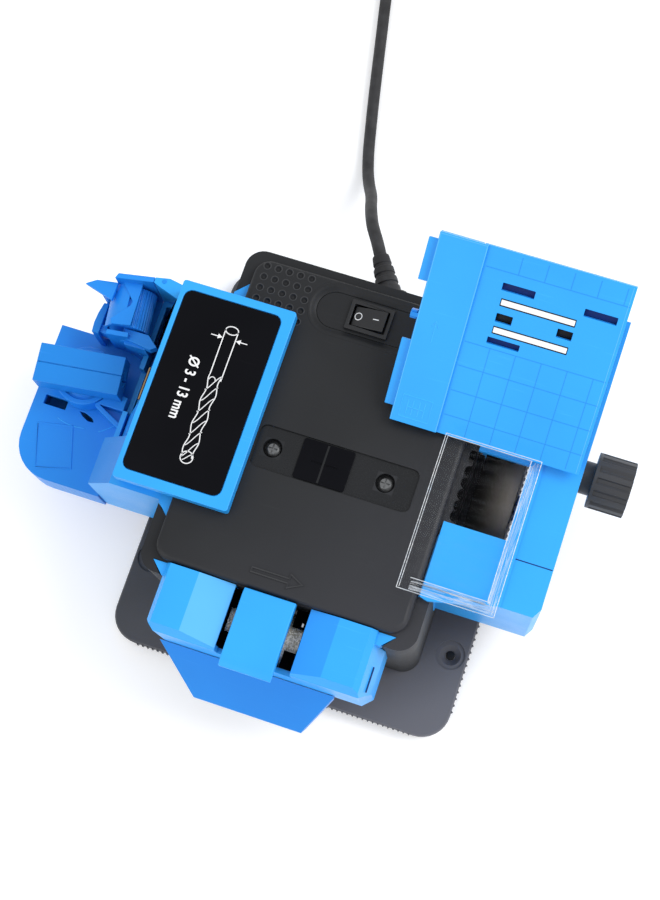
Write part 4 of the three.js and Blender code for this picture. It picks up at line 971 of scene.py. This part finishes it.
def build_drill_details():
    """Small moulded pieces round the drill holder."""
    module = ("drill_module", "blue_plastic")
    trim = Solid()
    # boss on the back ledge, cam lever, two blocks in front of the roller, thin wall behind the jaws
    trim.disc(-103.2, 59.4, 1.1, 91.8, 92.4, 16)
    trim.prism([(-133.6, 31.6), (-124.8, 30.6), (-124.4, 33.2), (-128, 35.2), (-132.6, 35.6)], 62.6, 70)
    block = [(-117.7, 34.4), (-114.2, 29.2), (-101.5, 27.4), (-98.6, 29.6), (-104.5, 34.4)]
    trim.prism(block, 74.5, 80)
    trim.prism([(-116, 30), (-115.6, 27.2), (-104.5, 27.4), (-104, 29.8)], 66, 77)
    trim.ribbon([(-127, 31.4), (-122, 31.0), (-114, 29.6), (-108.7, 27.8)], 0.9, 50.1, 61.4)
    # fillers under the cover's notch and between the guard and the fin
    trim.prism([(-120.5, 49), (-115.6, 47.4), (-115.8, 43.6), (-120.5, 42)], 84.05, 84.65)
    trim.box(-134.2, -130.9, 45.9, 53.4, 66, 67.2)
    # the trim takes the mid tint: painted shade
    trim.piece("drill_trim", MID_BLUE, *module, 0.35, 3)
    # a dark sheet of painted shade in the opening beside the roller, and a blue panel further forward
    opening_shade = Solid(upright).prism([(-104.0, 60), (-103.4, 60), (-93.9, 91), (-94.5, 91)], 36, 55.4)
    opening_shade.piece("drill_opening_shade", VOID, "drill_module", "dark_plastic")
    panel = Solid(upright).prism([(-105.4, 58), (-104.6, 58), (-94.0, 92), (-94.8, 92)], -19.8, -2.4)
    panel.piece("drill_side_panel", MID_BLUE, *module, 0.2, 2)
    # floor below the roller, and a facet of the stop arm, both in the shaded tint: painted shade
    web = Solid()
    web.prism([(-131.2, 34.2), (-108.6, 34.2), (-108.6, 57), (-127, 57), (-131.2, 53)], 50.4, 51.6)
    web.piece("drill_web", SHADED_BLUE, *module, 0.2, 2)
    shaded_facet = Solid().prism([(-108.4, -8.2), (-108.4, -2.4), (-119.6, -2.4)], 57.05, 57.3)
    shaded_facet.piece("stop_arm_facet", SHADED_BLUE, *module)
    seam = Solid(lambda p: at(*turned(p[0], p[1], PIVOT), p[2]))
    seam.box(-21.9, 21.3, -0.19, 0.19, 71, 74.38)
    seam.piece("jaw_seam", MID_BLUE, "drill_holder", "blue_plastic")
    # raised arcs on the tray, round the pivot, in the bright tint: painted highlight
    marks = Solid()
    for radius, first, last in ((24.2, -112, -76), (26.6, -60, -34)):
        points = []
        for i in range(15):
            angle = math.radians(first + (last - first) * i / 14)
            points.append((PIVOT[0] + radius * math.cos(angle), PIVOT[1] + radius * math.sin(angle)))
        marks.ribbon(points, 0.35, 49.95, 50.12)
    marks.piece("drill_tray_marks", BRIGHT, *module)
    # comb below the lid's corner in the darkest tint, painted shade, and ribs on the tray's front in
    # the bright tint, painted highlight
    comb = Solid()
    for i in range(7):
        x, z = -104.6 + 1.5 * i, 79 + 1.9 * i
        comb.box(x, x + 0.7, -43.3, -40.6, z, z + 2)
    comb.piece("drill_comb", SHADE_AND_SEAM_BLUE, *module, 0.1, 1)
    ribs = Solid()
    for i in range(9):
        x = -136.5 + 2.6 * i
        ribs.box(x, x + 0.6, -45.0, -44.6, 33, 49)
    ribs.piece("drill_tray_ribs", BRIGHT, *module, 0.08, 1)
    strip = Solid().box(-98.9, -98.1, 2.6, 19.4, 72, 79)
    strip.piece("drill_pilot_strip", BRASS, "drill_module", "copper", 0.1, 1)


def build_drill_module():
    body = skin("drill_body", BLUE, 0.4, 3)
    # painted shade: the slanting inner wall takes the darkest tint, and the chamfer below the lid a
    # deeper tint than the tops
    body.data.materials.append(SHADE_AND_SEAM_BLUE)
    body.data.materials.append(SHADED_BLUE)
    for face in body.data.polygons:
        if face.normal.x < -0.9 and 0.2 < face.normal.z < 0.4:
            face.material_index = 1
        elif -0.9 < face.normal.x < -0.6 and 0.4 < face.normal.z < 0.75:
            face.material_index = 2
    build_label()
    # the tray, jaws, guard, plate, arm, bracket and pointer take the mid and shaded tints: painted
    # shade
    skin("drill_tray", MID_BLUE, 0.45, 3)
    for name in ("jaw_front", "jaw_back", "curved_guard"):
        skin(name, SHADED_BLUE, 0.35, 3)
    skin("swivel_plate", MID_BLUE, 0.35, 3)
    skin("stop_arm", MID_BLUE, 0.3, 3)
    skin("back_bracket", MID_BLUE, 0.35, 3)
    skin("pointer", MID_BLUE, 0.3, 2)
    build_thumbwheel()
    build_drill_details()


# The carriage's slope, and the y and z of its plate's front upper edge.
TILT = math.radians(31)
FOOT_Y, FOOT_Z = 23.5, 107


def on_carriage(p):
    """A point (across, up the slope, off the plate) in millimetres on the tilted carriage."""
    x, v, w = p
    y = FOOT_Y + v * math.cos(TILT) - w * math.sin(TILT)
    return at(x, y, FOOT_Z + v * math.sin(TILT) + w * math.cos(TILT))


def build_carriage():
    # openings and pockets as x0, x1 across and v0, v1 up the slope
    slots = ((57, 72, 72, 75.5), (95, 110, 71, 74.5), (57, 72, 47, 50))
    windows = ((58, 65.5, 57.5, 61.5), (86, 93, 58.5, 62.5))
    pockets = ((58.2, 92.8, 65.2, 68.3), (58.2, 92.8, 52.2, 55.3))
    underside, tray_top, tray_bottom = -3.0, -3.06, -4.4
    x_cuts, v_cuts = {44.5, 114.0}, {0.0, 90.0}
    for x0, x1, v0, v1 in slots + windows + pockets:
        x_cuts.update((x0, x1))
        v_cuts.update((v0, v1))

    def inside(x, v, boxes):
        return any(x0 < x < x1 and v0 < v < v1 for x0, x1, v0, v1 in boxes)

    def top_of(x, v):
        if inside(x, v, slots + windows):
            return None
        return -1.6 if inside(x, v, pockets) else 0.0

    body = body_of("carriage_plate")
    blue_finish = (body, "blue_plastic")
    xs, vs = sorted(x_cuts), sorted(v_cuts)
    mesh = stepped_plate("carriage_plate_skin", on_carriage, xs, vs, top_of, underside)
    plate = add("carriage_plate_skin", mesh, BLUE, *blue_finish, 0.2, 2)
    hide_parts("carriage_plate")
    # two runners over each guide bar, whose y and z these are
    under = Solid(on_carriage)
    for y, z in ((50, 98), (77, 112.4)):
        v = (y - FOOT_Y) * math.cos(TILT) + (z - FOOT_Z) * math.sin(TILT)
        w = -(y - FOOT_Y) * math.sin(TILT) + (z - FOOT_Z) * math.cos(TILT)
        for x in (78, 96):
            under.box(x, x + 8, v - 5.4, v + 5.4, w - 5.4, underside - 0.05)
    under.piece("carriage_runners", BLUE, *blue_finish, 0.4, 2)
    # dark floors of painted shade under the slots and windows, and in the magnets' pockets
    trays = Solid(on_carriage)
    for x0, x1, v0, v1 in slots:
        trays.box(x0 - 0.6, x1 + 0.6, v0 - 0.6, v1 + 0.6, tray_bottom, tray_top)
    trays.piece("carriage_slot_floors", SHADE_AND_SEAM_BLUE, *blue_finish, 0.2, 1)
    dark = Solid(on_carriage)
    for x0, x1, v0, v1 in windows:
        dark.box(x0 - 0.5, x1 + 0.5, v0 - 0.5, v1 + 0.5, tray_bottom, tray_top)
    for x0, x1, v0, v1 in pockets:
        dark.box(x0 + 0.02, x1 - 0.02, v0 + 0.02, v1 - 0.02, -1.58, -1.45)
    dark.piece("carriage_window_floors", DARK, body, "dark_plastic")
    # black outline round each magnet: painted shade in the gap of its pocket
    rings = Solid(on_carriage)
    for x0, x1, v0, v1 in pockets:
        rings.ribbon([(x0, v0), (x1, v0), (x1, v1), (x0, v1)], 0.5, -0.2, 0.05, True)
    rings.piece("magnet_outlines", DARK, body, "dark_plastic")
    # squaring lines
    half, sunk, proud = 0.2, -0.1, 0.035
    lines = Solid(on_carriage)
    for v in (9.5, 21.5, 33.5, 45.0, 80.5):
        lines.box(47.6, 113.2, v - half, v + half, sunk, 0.03)
    for x in (59.5, 71.5, 83.5, 95.5, 107.5):
        lines.box(x - half, x + half, 1, 45.0, sunk, proud)
        lines.box(x + 3 - half, x + 3 + half, 80.5, 88.5, sunk, proud)
    lines.piece("squaring_lines", LINE_BLUE, *blue_finish)
    # painted highlights along the edges of the fence and the plate
    rims = Solid(on_carriage)
    rims.box(45.9, 46.3, 0.6, 89.4, 1.5, 1.68).box(112.5, 112.8, 0.6, 89.4, -0.1, 0.05)
    rims.box(24.3, 24.6, 0.6, 89.4, 1.5, 1.66).box(24.3, 46.3, 89.2, 89.5, 1.5, 1.66)
    rims.piece("carriage_edge_highlights", LIT_BLUE, *blue_finish, 0.05, 1)
    # raised pictogram on the fence in the bright tint, painted highlight: a blade between two guide
    # lines, and an arrow further up
    face, raised = 1.5, 1.75
    sign = Solid(on_carriage)
    sign.ribbon([(27.5, 3), (27.5, 13.5), (41.5, 13.5), (41.5, 3)], 0.5, face, raised, True)
    for x in (30.5, 33.0, 36.0, 38.5):
        sign.ribbon([(x, 4.6), (x, 11.8)], 0.5, face, raised)
    sign.ribbon([(30.5, 8.2), (38.5, 8.2)], 0.45, face, raised)
    sign.ribbon([(33.2, 40), (33.2, 50)], 0.4, face, raised)
    sign.ribbon([(31.6, 47.5), (33.2, 50.4), (34.8, 47.5)], 0.4, face, raised)
    sign.piece("fence_pictogram", BRIGHT, *blue_finish, 0.06, 1)


HOOD_TOP = 116.0


def build_shield():
    """The clear hood, with strips of painted highlight along its edges and painted reflections on its
    two slopes.
    """
    hood = ("shield", "clear_plastic")
    skin("shield", CLEAR, 0.3, 2)
    edges = Solid()
    for x0, x1, y0, y1 in (
        (51.5, 51.85, -51.9, 22.5), (52.5, 52.8, -51.0, 21.8), (51.5, 96.9, 22.15, 22.5),
        (52.6, 92.6, 21.2, 21.5), (96.5, 96.9, -51.9, 22.5), (91.9, 92.3, -45.4, 21.6),
        (51.5, 96.9, -51.9, -51.6), (56.4, 93.4, -45.9, -45.55),
    ):
        edges.box(x0, x1, y0, y1, HOOD_TOP - 0.35, HOOD_TOP - 0.02)
    edges.box(93.2, 93.5, -45.6, 22.4, 104.0, 104.6)
    edges.box(56.4, 93.4, -45.8, -45.5, 104.0, 104.5)
    edges.box(57, 96, -49.3, -49.05, 113.9, 114.0)
    edges.piece("shield_edges", CLEAR_EDGE, *hood)
    upper, lower = (113.7, 113.9), (105.0, 105.2)
    side = Solid().box(93.9, 96.1, -50.8, 21.6, *upper).box(92.1, 93.3, -45.0, 21.6, *lower)
    side.piece("shield_side_light", CLEAR_SIDE, *hood)
    front = Solid().box(56.9, 93.8, -50.9, -46.8, *upper).box(57.2, 91.4, -45.7, -44.6, *lower)
    front.piece("shield_front_light", CLEAR_FRONT, *hood)


def build_chisel_module():
    skin("chisel_body", BLUE, 0.4, 3)
    skin("guide_bar_front", STEEL, 0.2)
    skin("guide_bar_back", STEEL, 0.2)
    build_carriage()
    skin("fence", BLUE, 0.35, 3)
    # the clip takes the shaded tint: painted shade
    clip = Solid(on_carriage).box(20.6, 23.6, 48.4, 52.4, -2.9, 0.6)
    clip.box(20.6, 24.6, 49.4, 51.4, 0.6, 1.5)
    obj = clip.piece("fence_clip_skin", SHADED_BLUE, body_of("fence_clip"), "blue_plastic", 0.2, 2)
    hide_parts("fence_clip")
    skin("magnet_back", WHITE, 0.15)
    skin("magnet_front", WHITE, 0.15)
    build_shield()
    # a dark sheet of painted shade between the housing's ledge and the stone
    well_shade = Solid().box(67.5, 70.8, -13.6, 22.4, 94.2, 95.4).box(68.0, 70.6, -13.4, 22.2, 72, 94.3)
    well_shade.piece("wheel_well_shade", VOID, "chisel_module", "dark_plastic")
    # shaded scallops along the cover's ledge, each an arc of one radius
    centres = (20.6, 12.4, 6.6, 1.0, -4.6, -9.9)
    radius_squared = 7.6
    edge = []
    for i in range(89):
        y = 22.4 - 0.4 * i
        depth = max(math.sqrt(max(0.0, radius_squared - (y - centre) ** 2)) for centre in centres)
        edge.append((66.5 - depth, y))
    scallops = Solid().prism([(67.35, 22.4), *edge, (67.35, -12.8)], 98.03, 98.14)
    scallops.piece("ledge_scallops", VOID, "machine", "dark_plastic")
    seam = Solid().ribbon([(98.2, -20.7), (115.6, -20.7)], 0.5, 99.95, 100.1)
    seam.piece("chisel_body_seam", SHADE_AND_SEAM_BLUE, "chisel_module", "blue_plastic")
    skin("clamp_knob", KNOB, 0.35)
    skin("clamp_screw", STEEL, 0.2)


build_housing()
build_switch()
build_drive()
build_knife_module()
build_drill_module()
build_chisel_module()


# ---------------------------------------------------------------- floor and light
def build_stage():
    mesh = bpy.data.meshes.new("floor")
    half = 3.0
    corners = [(-half, -half, 0), (half, -half, 0), (half, half, 0), (-half, half, 0)]
    mesh.from_pydata(corners, [], [(0, 1, 2, 3)])
    floor = bpy.data.objects.new("floor", mesh)
    bpy.context.scene.collection.objects.link(floor)
    t = Tree("floor")
    pale, dimmer = (0.95, 0.952, 0.955), (0.94, 0.942, 0.947)
    t.colour(t.mix(t.range(t.noise(4, 2), 0.3, 0.7), pale, dimmer))
    t.set(Emission_Color=(1.0, 1.0, 1.0, 1.0), Emission_Strength=0.2)
    t.roughness(t.range(t.noise(60, 2), 0.3, 0.7, 0.7, 0.8))
    mesh.materials.append(t.mat)
    world = bpy.data.worlds.new("studio")
    bpy.context.scene.world = world
    world.use_nodes = True
    background = world.node_tree.nodes["Background"]
    background.inputs["Color"].default_value = (0.985, 0.99, 1.0, 1)
    background.inputs["Strength"].default_value = 0.85
    for name, place, power, target in (
        ("key", (0.95, 0.45, 1.15), 11, (0, 0, 0.06)),
        ("fill", (-0.7, -0.9, 1.0), 4, (0.02, 0, 0.06)),
    ):
        data = bpy.data.lights.new(name, "AREA")
        data.size = 0.8
        data.energy = power
        light = bpy.data.objects.new(name, data)
        light.location = place
        aim = Vector(target) - Vector(place)
        light.rotation_euler = aim.to_track_quat("-Z", "Y").to_euler()
        bpy.context.scene.collection.objects.link(light)
    bpy.context.scene.view_settings.view_transform = "Standard"


build_stage()
